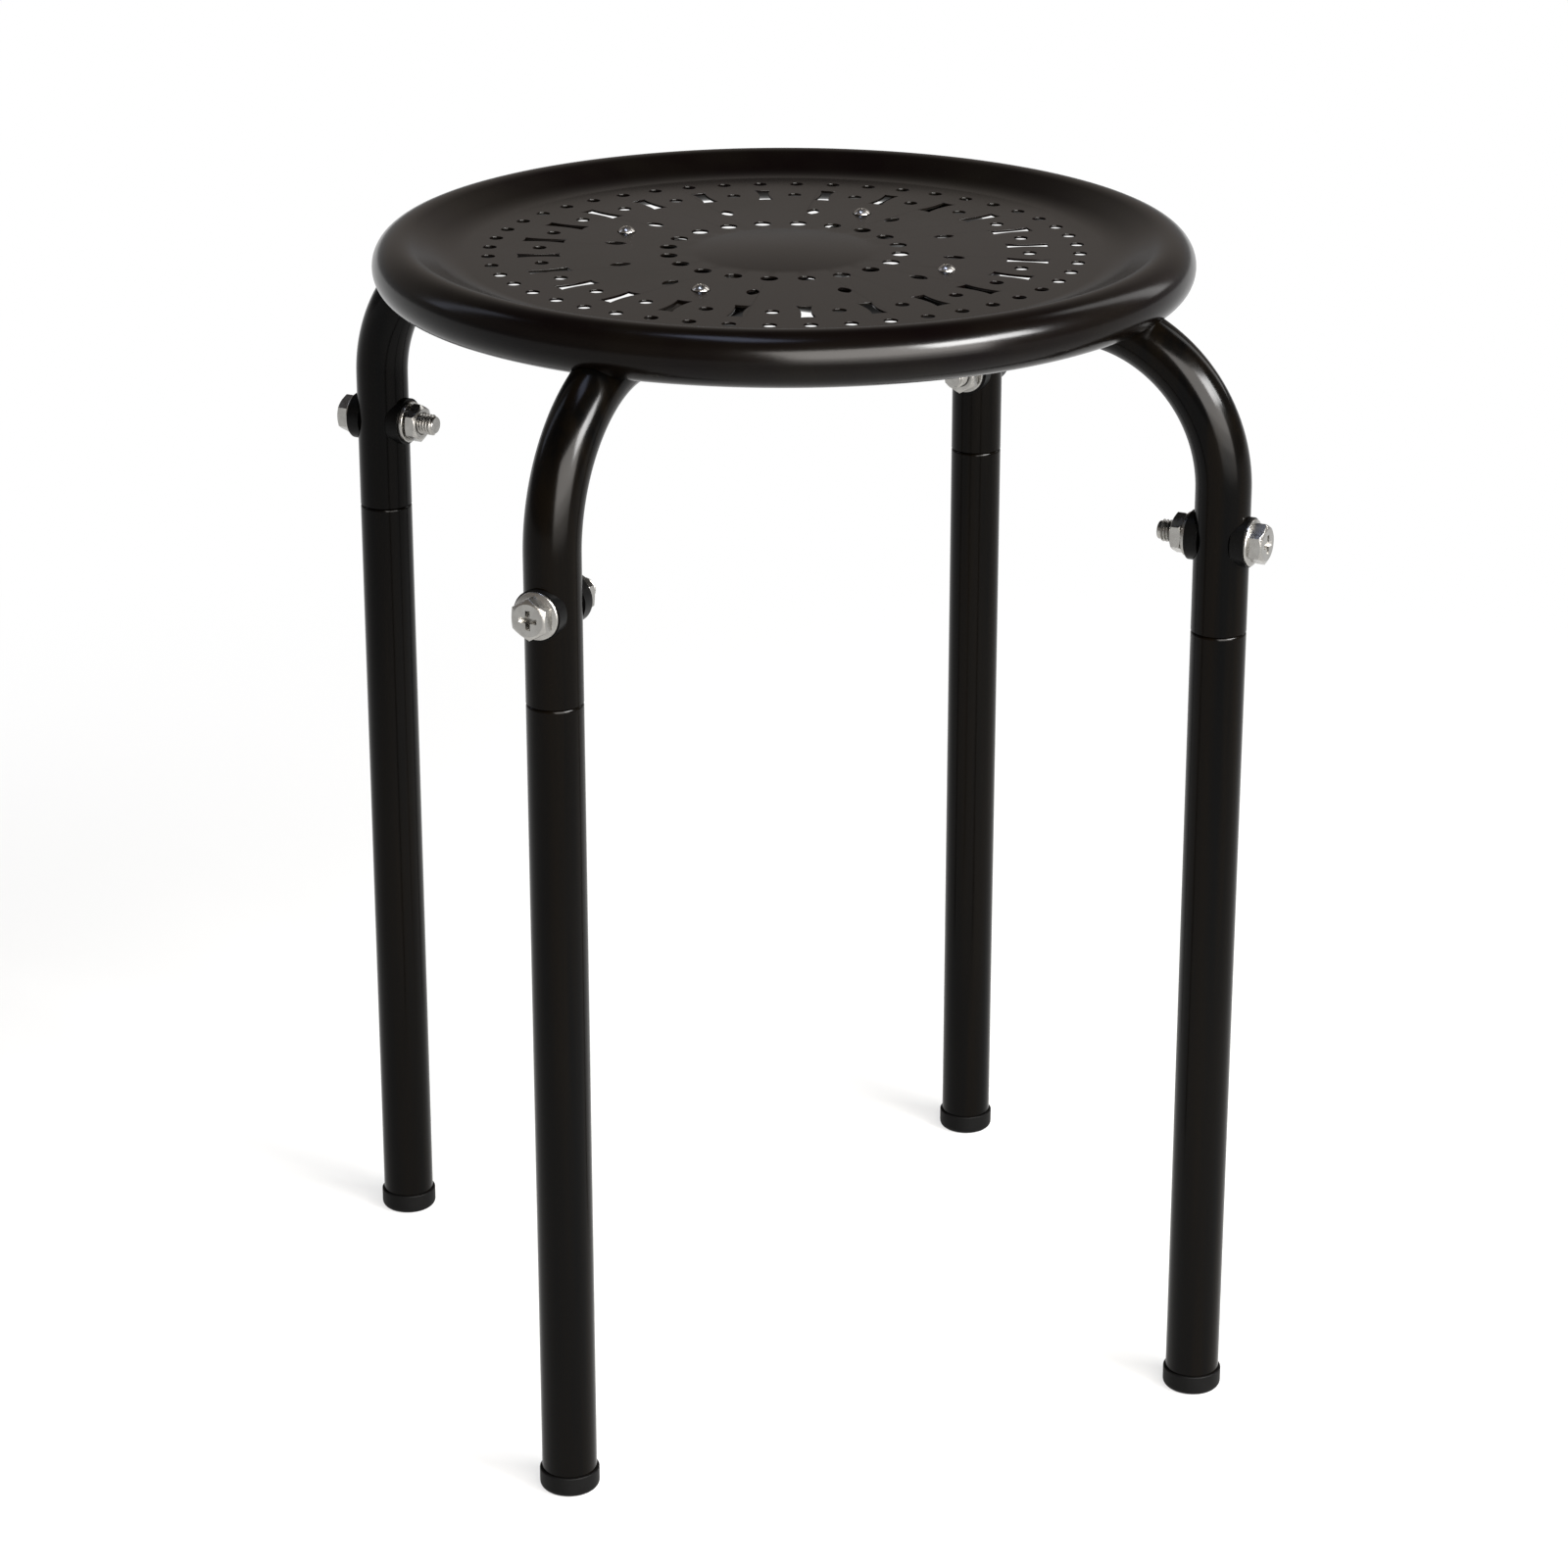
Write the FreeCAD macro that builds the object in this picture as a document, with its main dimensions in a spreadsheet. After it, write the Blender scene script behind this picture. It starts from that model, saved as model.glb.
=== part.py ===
import FreeCAD, Part
import math
import os
import Sketcher
from FreeCAD import Placement, Rotation, Vector

# Stacking stool: a perforated pressed seat pan, screwed to two U-shaped tubes that cross under it,
# on four tube legs with swaged necks that are bolted into the tubes' arms.
# Millimetres, +Z up, origin on the floor under the centre of the seat, one leg on each half axis.

SIZES = {
    # whole stool
    "stool_height": 430,
    "seat_radius": 150,
    "leg_circle_radius": 174,
    # pressed seat pan
    "sheet_thickness": 0.8,
    "bead_radius": 10,
    "seat_depth": 7,
    "rim_slope": 25,
    "dish_fillet": 25,
    "curl_angle": 150,
    "dome_radius": 35,
    "dome_rise": 1.4,
    "notch_clearance": 0.3,
    "notch_sweep": 80,
    # perforation of the seat
    "pattern_turn": 1.6,
    "small_hole_radius": 2.5,
    "outer_hole_count": 48,
    "outer_ring_margin": 9.4,
    "slot_count": 24,
    "slot_ring_step": 18.3,
    "slot_length": 15.5,
    "slot_end_width": 5.5,
    "slot_waist_width": 3.6,
    "slot_end_dip": 0.3,
    "leaf_count": 12,
    "leaf_ring_step": 26.8,
    "leaf_length": 8,
    "leaf_width": 4.5,
    "inner_hole_count": 20,
    "inner_ring_step": 20.1,
    "inner_hole_radius": 3.15,
    # tubes
    "tube_radius": 10,
    "tube_wall": 1.2,
    "bend_radius": 57,
    "crimp_gap": 0.2,
    "crimp_width": 28,
    "crimp_half_length": 16,
    "crimp_taper_length": 24,
    "arm_length": 51.7,
    "neck_clearance": 0.2,
    "neck_end_gap": 2.8,
    # foot plugs
    "plug_height": 8,
    "plug_overhang": 0.9,
    "plug_round": 2.5,
    "plug_hollow_radius": 4.5,
    "plug_hollow_depth": 0.8,
    "stem_length": 20,
    "stem_clearance": 0.1,
    "stem_tip_chamfer": 1.5,
    # leg bolts with their saddles, washers and nuts
    "bolt_below_bend": 17.7,
    "bolt_radius": 4,
    "bolt_length": 35,
    "bolt_tip_chamfer": 0.8,
    "hole_clearance": 0.25,
    "thread_clearance": 0.05,
    "flange_radius": 8.5,
    "flange_thickness": 1.4,
    "flange_edge": 0.5,
    "head_height": 4.8,
    "hex_width": 13,
    "hex_chamfer_radius": 5.75,
    "hex_chamfer_slope": 30,
    "recess_span": 7.6,
    "recess_width": 1.9,
    "recess_depth": 2.6,
    "saddle_radius": 9,
    "saddle_thickness": 1.3,
    "saddle_depth": 5,
    "saddle_clearance": 0.1,
    "washer_radius": 8,
    "washer_thickness": 1.6,
    "nut_height": 5,
    # seat screws and the rivet nuts that they go into
    "screw_ring_step": 2.6,
    "screw_radius": 1.95,
    "screw_length": 14,
    "screw_head_radius": 3.3,
    "screw_dome_rise": 2,
    "screw_recess_span": 3.4,
    "screw_recess_width": 0.8,
    "screw_recess_depth": 1,
    "countersink_clearance": 0.1,
    "insert_radius": 3,
    "insert_length": 12,
    "insert_hole_clearance": 0.1,
    "bulge_radius": 4.2,
    "bulge_height": 3,
    "bulge_clearance": 0.05,
}

DERIVED = {
    # heights of the seat and its sheet
    "seat_top": "stool_height - seat_depth",
    "seat_underside": "seat_top - sheet_thickness",
    # rolled bead round the rim: its circle, its inner face, where the slope runs into it, and its end
    "bead_centre_radius": "seat_radius - bead_radius",
    "bead_centre_height": "stool_height - bead_radius",
    "bead_bore": "bead_radius - sheet_thickness",
    "seat_inside_radius": "seat_radius - sheet_thickness",
    "slope_top_radius": "bead_centre_radius - bead_radius * sin(rim_slope)",
    "slope_top_height": "bead_centre_height + bead_radius * cos(rim_slope)",
    "slope_under_radius": "bead_centre_radius - bead_bore * sin(rim_slope)",
    "slope_under_height": "bead_centre_height + bead_bore * cos(rim_slope)",
    "curl_end_radius": "bead_centre_radius + bead_radius * cos(curl_angle)",
    "curl_end_height": "bead_centre_height - bead_radius * sin(curl_angle)",
    "curl_inner_radius": "bead_centre_radius + bead_bore * cos(curl_angle)",
    "curl_inner_height": "bead_centre_height - bead_bore * sin(curl_angle)",
    # hollow fillet between the flat and the slope
    "fillet_end_height": "seat_top + dish_fillet * (1 - cos(rim_slope))",
    "fillet_end_radius": "slope_top_radius - (slope_top_height - fillet_end_height) / tan(rim_slope)",
    "flat_radius": "fillet_end_radius - dish_fillet * sin(rim_slope)",
    "under_fillet": "dish_fillet + sheet_thickness",
    "under_fillet_radius": "fillet_end_radius + sheet_thickness * sin(rim_slope)",
    "under_fillet_height": "fillet_end_height - sheet_thickness * cos(rim_slope)",
    # shallow dome in the middle, as two concentric spheres
    "dome_sphere": "(dome_radius ^ 2 + dome_rise ^ 2) / (2 * dome_rise)",
    "dome_under_sphere": "dome_sphere - sheet_thickness",
    "dome_top": "seat_top + dome_rise",
    "dome_under": "dome_top - sheet_thickness",
    "dome_under_radius": "sqrt(dome_under_sphere ^ 2 - (dome_under_sphere - dome_rise) ^ 2)",
    # rings of the perforation
    "outer_ring": "flat_radius - outer_ring_margin",
    "slot_ring": "outer_ring - slot_ring_step",
    "slot_start": "slot_ring - slot_length / 2",
    "slot_end": "slot_ring + slot_length / 2",
    "slot_half_width": "slot_end_width / 2",
    "slot_waist_dip": "(slot_end_width - slot_waist_width) / 2",
    "slot_side_radius": "(slot_length ^ 2 / 4 + slot_waist_dip ^ 2) / (2 * slot_waist_dip)",
    "slot_end_radius": "(slot_half_width ^ 2 + slot_end_dip ^ 2) / (2 * slot_end_dip)",
    "leaf_ring": "slot_ring - leaf_ring_step",
    "leaf_start": "leaf_ring - leaf_length / 2",
    "leaf_end": "leaf_ring + leaf_length / 2",
    "leaf_side_radius": "(leaf_length ^ 2 + leaf_width ^ 2) / (4 * leaf_width)",
    "inner_ring": "leaf_ring - inner_ring_step",
    # cross tubes, which carry the pan on their crests
    "tube_bore": "tube_radius - tube_wall",
    "tube_axis_height": "seat_underside - tube_radius",
    "bend_centre_radius": "leg_circle_radius - bend_radius",
    "bend_centre_height": "tube_axis_height - bend_radius",
    "notch_radius": "tube_radius + notch_clearance",
    # where the tubes cross, each is pressed to an oval half as high as the round tube
    "crimp_half_width": "crimp_width / 2",
    "crimp_half_height": "tube_radius / 2 - crimp_gap / 4",
    "crimp_end": "crimp_half_length + crimp_taper_length",
    "crimp_bore_half_width": "crimp_half_width - tube_wall",
    "crimp_bore_half_height": "crimp_half_height - tube_wall",
    "upper_crimp_height": "seat_underside - crimp_half_height",
    "lower_crimp_height": "tube_axis_height - crimp_gap / 2 - crimp_half_height",
    # seam between each arm and its leg, and the leg's swaged neck
    "seam_height": "bend_centre_height - arm_length",
    "neck_radius": "tube_bore - neck_clearance",
    "neck_bore": "neck_radius - tube_wall",
    "neck_top": "bend_centre_height - neck_end_gap",
    "shoulder_radius": "tube_radius - neck_radius",
    "shoulder_start": "seam_height - shoulder_radius",
    "inner_shoulder_end": "seam_height - tube_wall",
    "inner_shoulder_start": "inner_shoulder_end - (tube_bore - neck_bore)",
    # foot plugs
    "plug_radius": "tube_radius + plug_overhang",
    "plug_flat_radius": "plug_radius - plug_round",
    "stem_radius": "tube_bore - stem_clearance",
    "stem_tip_radius": "stem_radius - stem_tip_chamfer",
    "stem_top": "plug_height + stem_length",
    "stem_chamfer_start": "stem_top - stem_tip_chamfer",
    # leg bolts, measured outwards from the leg's axis; saddle, washer and nut lie the same way inside
    "bolt_height": "bend_centre_height - bolt_below_bend",
    "bolt_hole_radius": "bolt_radius + hole_clearance",
    "saddle_back": "tube_radius + saddle_thickness",
    "saddle_front": "saddle_back - saddle_depth",
    "saddle_hollow_radius": "tube_radius + saddle_clearance",
    "flange_top": "saddle_back + flange_thickness",
    "flange_edge_height": "saddle_back + flange_edge",
    "flange_inner_radius": "flange_radius - flange_edge",
    "head_top": "flange_top + head_height",
    "bolt_tip": "bolt_length - saddle_back",
    "bolt_tip_radius": "bolt_radius - bolt_tip_chamfer",
    "bolt_chamfer_start": "bolt_tip - bolt_tip_chamfer",
    "hex_half_width": "hex_width / 2",
    "hex_corner_radius": "hex_width / sqrt(3)",
    "hex_half_corner": "hex_corner_radius / 2",
    "hex_outside": "hex_corner_radius + hex_width / 10",
    "hex_chamfer_drop": "(hex_outside - hex_chamfer_radius) * tan(hex_chamfer_slope)",
    "head_chamfer_level": "head_top - hex_chamfer_drop",
    "recess_half_span": "recess_span / 2",
    "recess_half_width": "recess_width / 2",
    "washer_back": "saddle_back + washer_thickness",
    "nut_back": "washer_back + nut_height",
    "nut_back_chamfer_level": "nut_back - hex_chamfer_drop",
    "nut_front_chamfer_level": "washer_back + hex_chamfer_drop",
    "nut_bore": "bolt_radius + thread_clearance",
    # seat screws, measured upwards from the seat's flat, and rivet nuts, from the cross tube's axis
    "screw_circle_radius": "leaf_ring + screw_ring_step",
    "screw_dome_sphere": "(screw_head_radius ^ 2 + screw_dome_rise ^ 2) / (2 * screw_dome_rise)",
    "screw_recess_half_span": "screw_recess_span / 2",
    "screw_recess_half_width": "screw_recess_width / 2",
    "countersink_radius": "screw_head_radius + countersink_clearance",
    "countersink_bore": "screw_radius + countersink_clearance",
    "insert_hole_radius": "insert_radius + insert_hole_clearance",
    "insert_bore": "screw_radius + thread_clearance",
    "insert_end": "tube_radius - insert_length",
    "bulge_top": "sqrt(tube_bore ^ 2 - bulge_radius ^ 2) - bulge_clearance",
    "bulge_bottom": "bulge_top - bulge_height",
}

# Directions of the legs round the seat, in degrees from +X
LEG_ANGLES = {"right": 0, "back": 90, "left": 180, "front": 270}
HALF_TURN = 180
FULL_TURN = 360

SHEET_NAME = "Sizes"
ON_AXIS = "on_axis"
HORIZONTAL_AXIS = -1
VERTICAL_AXIS = -2
START_POINT = 1
END_POINT = 2
CENTRE_POINT = 3
UP = Vector(0, 0, 1)
PARTS_FOLDER = "parts"

doc = FreeCAD.newDocument("stacking_stool")
sheet = doc.addObject("Spreadsheet::Sheet", SHEET_NAME)


def fill_sheet():
    """Write the driving sizes as plain numbers and the sizes worked out from them as formulas."""
    row = 0
    for alias, content in {**SIZES, **{name: "=" + rule for name, rule in DERIVED.items()}}.items():
        row += 1
        sheet.set(f"A{row}", alias)
        sheet.set(f"B{row}", str(content))
        sheet.setAlias(f"B{row}", alias)
    doc.recompute()


def amount(name):
    """Value of a sheet name; a leading minus changes its sign."""
    if name == ON_AXIS:
        return 0.0
    value = float(sheet.get(name.lstrip("-")))
    return -value if name.startswith("-") else value


def formula(name):
    """Expression for a sheet name, with its leading minus if it has one."""
    sign = "-" if name.startswith("-") else ""
    return f"{sign}{SHEET_NAME}.{name.lstrip('-')}"


def bind(item, path, name):
    """Tie a property of a document object to a size in the sheet."""
    item.setExpression(path, formula(name))


def new_body(name):
    """Start one piece of the stool under its own name."""
    body = doc.addObject("PartDesign::Body", name)
    body.Label = name
    return body


def origin_feature(body, role):
    """Origin plane or axis of a body by its role."""
    return next(item for item in body.Origin.OriginFeatures if item.Role == role)


def new_sketch(body, name, role, height=None):
    """Sketch on an origin plane of the body, moved along the plane's normal by a size in the sheet."""
    sketch = body.newObject("Sketcher::SketchObject", name)
    sketch.AttachmentSupport = [(origin_feature(body, role), "")]
    sketch.MapMode = "FlatFace"
    if height:
        bind(sketch, "AttachmentOffset.Base.z", height)
    return sketch


def pin_point(sketch, edge, point, x_name, y_name):
    """Fix a point of an edge at sizes from the sheet, or on an axis of the sketch."""
    places = (("DistanceX", x_name, VERTICAL_AXIS), ("DistanceY", y_name, HORIZONTAL_AXIS))
    for direction, name, axis in places:
        if name == ON_AXIS:
            sketch.addConstraint(Sketcher.Constraint("PointOnObject", edge, point, axis))
        else:
            index = sketch.addConstraint(Sketcher.Constraint(direction, edge, point, amount(name)))
            bind(sketch, f"Constraints[{index}]", name)


def bind_radius(sketch, edge, radius):
    """Give an arc or circle a radius from the sheet."""
    index = sketch.addConstraint(Sketcher.Constraint("Radius", edge, amount(radius)))
    bind(sketch, f"Constraints[{index}]", radius)


def add_circle(sketch, x_name, y_name, radius):
    """Circle in a sketch at a place and of a radius from the sheet."""
    centre = Vector(amount(x_name), amount(y_name), 0)
    edge = sketch.addGeometry(Part.Circle(centre, UP, amount(radius)))
    pin_point(sketch, edge, CENTRE_POINT, x_name, y_name)
    bind_radius(sketch, edge, radius)


def add_ellipse(sketch, y_name, half_width, half_height):
    """Ellipse on the sketch's vertical axis, wider than it is high."""
    centre = Vector(0, amount(y_name), 0)
    side = centre + Vector(amount(half_width), 0, 0)
    top = centre + Vector(0, amount(half_height), 0)
    edge = sketch.addGeometry(Part.Ellipse(side, top, centre))
    sketch.exposeInternalGeometry(edge)
    major_axis = edge + 1
    minor_axis = edge + 2
    pin_point(sketch, edge, CENTRE_POINT, ON_AXIS, y_name)
    sketch.addConstraint(Sketcher.Constraint("Horizontal", major_axis))
    for axis, half in ((major_axis, half_width), (minor_axis, half_height)):
        index = sketch.addConstraint(Sketcher.Constraint("Distance", axis, 2 * amount(half)))
        sketch.setExpression(f"Constraints[{index}]", f"2 * {formula(half)}")


def arc_through(start, end, radius, turn):
    """Arc of under half a turn from start to end, curving left or right, drawn counterclockwise."""
    chord = end - start
    side = 1 if turn == "left" else -1
    to_centre = math.sqrt(max(radius ** 2 - (chord.Length / 2) ** 2, 0))
    across = Vector(-chord.y, chord.x, 0).normalize()
    centre = (start + end) / 2 + across * to_centre * side
    first, last = (start, end) if turn == "left" else (end, start)
    first_angle = math.atan2(first.y - centre.y, first.x - centre.x)
    last_angle = math.atan2(last.y - centre.y, last.x - centre.x)
    return Part.ArcOfCircle(Part.Circle(centre, UP, radius), first_angle, last_angle)


def add_outline(sketch, corners, arcs=None, closed=True):
    """Draw an outline through corners given as pairs of sheet names.

    arcs gives the radius and the turn, left or right, of each edge that isn't straight, by its number.
    """
    arcs = arcs or {}
    points = [Vector(amount(x_name), amount(y_name), 0) for x_name, y_name in corners]
    edge_count = len(corners) if closed else len(corners) - 1
    ends = []
    for number in range(edge_count):
        start = points[number]
        end = points[(number + 1) % len(points)]
        if number in arcs:
            radius, turn = arcs[number]
            edge = sketch.addGeometry(arc_through(start, end, amount(radius), turn))
            bind_radius(sketch, edge, radius)
            order = (START_POINT, END_POINT) if turn == "left" else (END_POINT, START_POINT)
        else:
            edge = sketch.addGeometry(Part.LineSegment(start, end))
            order = (START_POINT, END_POINT)
        ends.append((edge, *order))
    for number, (edge, first, last) in enumerate(ends):
        pin_point(sketch, edge, first, *corners[number])
        if number + 1 < edge_count or closed:
            next_edge, next_first, _ = ends[(number + 1) % edge_count]
            sketch.addConstraint(Sketcher.Constraint("Coincident", edge, last, next_edge, next_first))
        else:
            pin_point(sketch, edge, last, *corners[number + 1])


def revolve(body, name, corners, arcs=None, cut=False):
    """Turn an outline of radius and height round the body's Z axis."""
    sketch = new_sketch(body, f"{name}_profile", "XZ_Plane")
    add_outline(sketch, corners, arcs)
    kind = "PartDesign::Groove" if cut else "PartDesign::Revolution"
    feature = body.newObject(kind, name)
    feature.Profile = sketch
    feature.ReferenceAxis = (sketch, ["V_Axis"])
    feature.Angle = FULL_TURN
    return feature


def pad(body, name, sketch, length):
    """Raise a sketch along its normal by a size in the sheet."""
    feature = body.newObject("PartDesign::Pad", name)
    feature.Profile = sketch
    bind(feature, "Length", length)
    return feature


def cut_through(body, name, sketch):
    """Cut a sketch through the whole piece, both ways along its normal."""
    feature = body.newObject("PartDesign::Pocket", name)
    feature.Profile = sketch
    feature.Type = "ThroughAll"
    feature.SideType = "Symmetric"
    return feature


def polar_pattern(body, name, original, count):
    """Repeat a cut round the body's Z axis, count being a number or a size in the sheet."""
    feature = body.newObject("PartDesign::PolarPattern", name)
    feature.Originals = [original]
    feature.Axis = (origin_feature(body, "Z_Axis"), [""])
    feature.Angle = FULL_TURN
    if isinstance(count, str):
        bind(feature, "Occurrences", count)
    else:
        feature.Occurrences = count
    body.Tip = feature
    return feature


def stand_on_circle(body, angle, circle, height=None):
    """Turn an upright piece to a leg's direction and set it on a circle round the seat's centre."""
    body.Placement = Placement(Vector(), Rotation(UP, angle))
    move_to_circle(body, angle, circle, height)


def point_along_bolt(body, angle, facing=0):
    """Lay a piece's Z axis along a leg's bolt, facing outwards, or inwards when facing is half a turn."""
    sideways = Rotation(Vector(0, 1, 0), HALF_TURN / 2)
    body.Placement = Placement(Vector(), Rotation(UP, angle + facing) * sideways)
    move_to_circle(body, angle, "leg_circle_radius", "bolt_height")


def move_to_circle(body, angle, circle, height):
    """Place a piece's origin on a circle of the sheet, in the direction of an angle."""
    body.setExpression("Placement.Base.x", f"{formula(circle)} * cos({angle})")
    body.setExpression("Placement.Base.y", f"{formula(circle)} * sin({angle})")
    if height:
        bind(body, "Placement.Base.z", height)


def cut_hex_chamfer(body, name, face, level):
    """Turn the corners of a hexagon down to a cone that ends in a circle on its face."""
    corners = [("hex_chamfer_radius", face), ("hex_outside", face), ("hex_outside", level)]
    return revolve(body, name, corners, cut=True)


def draw_hexagon(sketch):
    """Hexagon with two corners on the sketch's horizontal axis."""
    add_outline(sketch, [
        ("hex_corner_radius", ON_AXIS),
        ("hex_half_corner", "hex_half_width"),
        ("-hex_half_corner", "hex_half_width"),
        ("-hex_corner_radius", ON_AXIS),
        ("-hex_half_corner", "-hex_half_width"),
        ("hex_half_corner", "-hex_half_width"),
    ])


def cut_cross_recess(body, span, width, level, depth):
    """Sink a cross for a screwdriver into a head whose top is at a level of the sheet."""
    sketch = new_sketch(body, "cross_recess_outline", "XY_Plane", level)
    add_outline(sketch, [
        (span, f"-{width}"), (span, width), (width, width), (width, span),
        (f"-{width}", span), (f"-{width}", width), (f"-{span}", width), (f"-{span}", f"-{width}"),
        (f"-{width}", f"-{width}"), (f"-{width}", f"-{span}"), (width, f"-{span}"), (width, f"-{width}"),
    ])
    feature = body.newObject("PartDesign::Pocket", "cross_recess")
    feature.Profile = sketch
    bind(feature, "Length", depth)
    return feature


def cut_bolt_hole(body):
    """Drill the leg bolt's hole along X through both walls of each upright stretch of tube."""
    sketch = new_sketch(body, "bolt_hole_outline", "YZ_Plane")
    add_circle(sketch, ON_AXIS, "bolt_height", "bolt_hole_radius")
    return cut_through(body, "bolt_hole", sketch)


def cut_ring(body, name, draw, count, share_of_pitch=0):
    """Punch a ring of like openings, turned with the pattern and by a share of the ring's pitch."""
    sketch = new_sketch(body, f"{name}_outline", "XY_Plane")
    turn = f"{formula('pattern_turn')} + {share_of_pitch} * {FULL_TURN} / {formula(count)}"
    sketch.AttachmentOffset = Placement(Vector(), Rotation(UP, 1))
    sketch.setExpression("AttachmentOffset.Rotation.Angle", turn)
    draw(sketch)
    first = cut_through(body, name, sketch)
    return polar_pattern(body, f"{name}_ring", first, count)


def draw_slot(sketch):
    """Radial slot with hollow sides and ends, so that it is wider at both ends than at its waist."""
    corners = [
        ("slot_start", "-slot_half_width"),
        ("slot_end", "-slot_half_width"),
        ("slot_end", "slot_half_width"),
        ("slot_start", "slot_half_width"),
    ]
    side = ("slot_side_radius", "right")
    end = ("slot_end_radius", "right")
    add_outline(sketch, corners, {0: side, 1: end, 2: side, 3: end})


def draw_leaf(sketch):
    """Radial leaf, pointed at both ends."""
    side = ("leaf_side_radius", "left")
    add_outline(sketch, [("leaf_start", ON_AXIS), ("leaf_end", ON_AXIS)], {0: side, 1: side})


def round_hole(ring, radius):
    """Way to draw a round hole at a ring of the sheet."""
    return lambda sketch: add_circle(sketch, ring, ON_AXIS, radius)


def perforate(body):
    """Punch the five rings of openings into the seat's flat."""
    half = 0.5
    cut_ring(body, "outer_holes", round_hole("outer_ring", "small_hole_radius"), "outer_hole_count")
    cut_ring(body, "radial_slots", draw_slot, "slot_count")
    cut_ring(body, "holes_between_slots", round_hole("slot_ring", "small_hole_radius"), "slot_count", half)
    cut_ring(body, "leaf_holes", draw_leaf, "leaf_count", half)
    cut_ring(body, "inner_holes", round_hole("inner_ring", "inner_hole_radius"), "inner_hole_count")


def cut_screw_holes(body):
    """Countersink the seat for one screw over each arm of the cross tubes."""
    sketch = new_sketch(body, "countersink_profile", "XZ_Plane")
    bind(sketch, "AttachmentOffset.Base.x", "screw_circle_radius")
    bind(sketch, "AttachmentOffset.Base.y", "seat_top")
    add_outline(sketch, [
        (ON_AXIS, ON_AXIS),
        ("countersink_radius", ON_AXIS),
        ("countersink_bore", "-sheet_thickness"),
        (ON_AXIS, "-sheet_thickness"),
    ])
    countersink = body.newObject("PartDesign::Groove", "countersink")
    countersink.Profile = sketch
    countersink.ReferenceAxis = (sketch, ["V_Axis"])
    countersink.Angle = FULL_TURN
    polar_pattern(body, "countersinks", countersink, len(LEG_ANGLES))


def cut_tube_notches(body):
    """Open the bead from below where the bends of the cross tubes pass through it."""
    sketch = new_sketch(body, "notch_outline", "XY_Plane", "bend_centre_height")
    bind(sketch, "AttachmentOffset.Base.x", "bend_centre_radius")
    add_circle(sketch, "bend_radius", ON_AXIS, "notch_radius")
    notch = body.newObject("PartDesign::Groove", "notch")
    notch.Profile = sketch
    notch.ReferenceAxis = (sketch, ["V_Axis"])
    bind(notch, "Angle", "notch_sweep")
    notch.Reversed = True
    polar_pattern(body, "notches", notch, len(LEG_ANGLES))


def make_seat_pan():
    """Pressed round pan: shallow dome, flat, hollow fillet, slope, and a rolled bead as its rim."""
    body = new_body("seat_pan")
    corners = [
        (ON_AXIS, "dome_under"),
        (ON_AXIS, "dome_top"),
        ("dome_radius", "seat_top"),
        ("flat_radius", "seat_top"),
        ("fillet_end_radius", "fillet_end_height"),
        ("slope_top_radius", "slope_top_height"),
        ("seat_radius", "bead_centre_height"),
        ("curl_end_radius", "curl_end_height"),
        ("curl_inner_radius", "curl_inner_height"),
        ("seat_inside_radius", "bead_centre_height"),
        ("slope_under_radius", "slope_under_height"),
        ("under_fillet_radius", "under_fillet_height"),
        ("flat_radius", "seat_underside"),
        ("dome_under_radius", "seat_underside"),
    ]
    arcs = {
        1: ("dome_sphere", "right"),
        3: ("dish_fillet", "left"),
        5: ("bead_radius", "right"),
        6: ("bead_radius", "right"),
        8: ("bead_bore", "left"),
        9: ("bead_bore", "left"),
        11: ("under_fillet", "right"),
        13: ("dome_under_sphere", "left"),
    }
    revolve(body, "pressed_sheet", corners, arcs)
    perforate(body)
    cut_screw_holes(body)
    cut_tube_notches(body)
    return body


def draw_tube_ring(sketch):
    """Round section of the cross tube at its own height."""
    add_circle(sketch, ON_AXIS, "tube_axis_height", "tube_radius")
    add_circle(sketch, ON_AXIS, "tube_axis_height", "tube_bore")


def draw_crimp_ring(sketch, height):
    """Oval section of the cross tube where it is pressed flat."""
    add_ellipse(sketch, height, "crimp_half_width", "crimp_half_height")
    add_ellipse(sketch, height, "crimp_bore_half_width", "crimp_bore_half_height")


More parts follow.
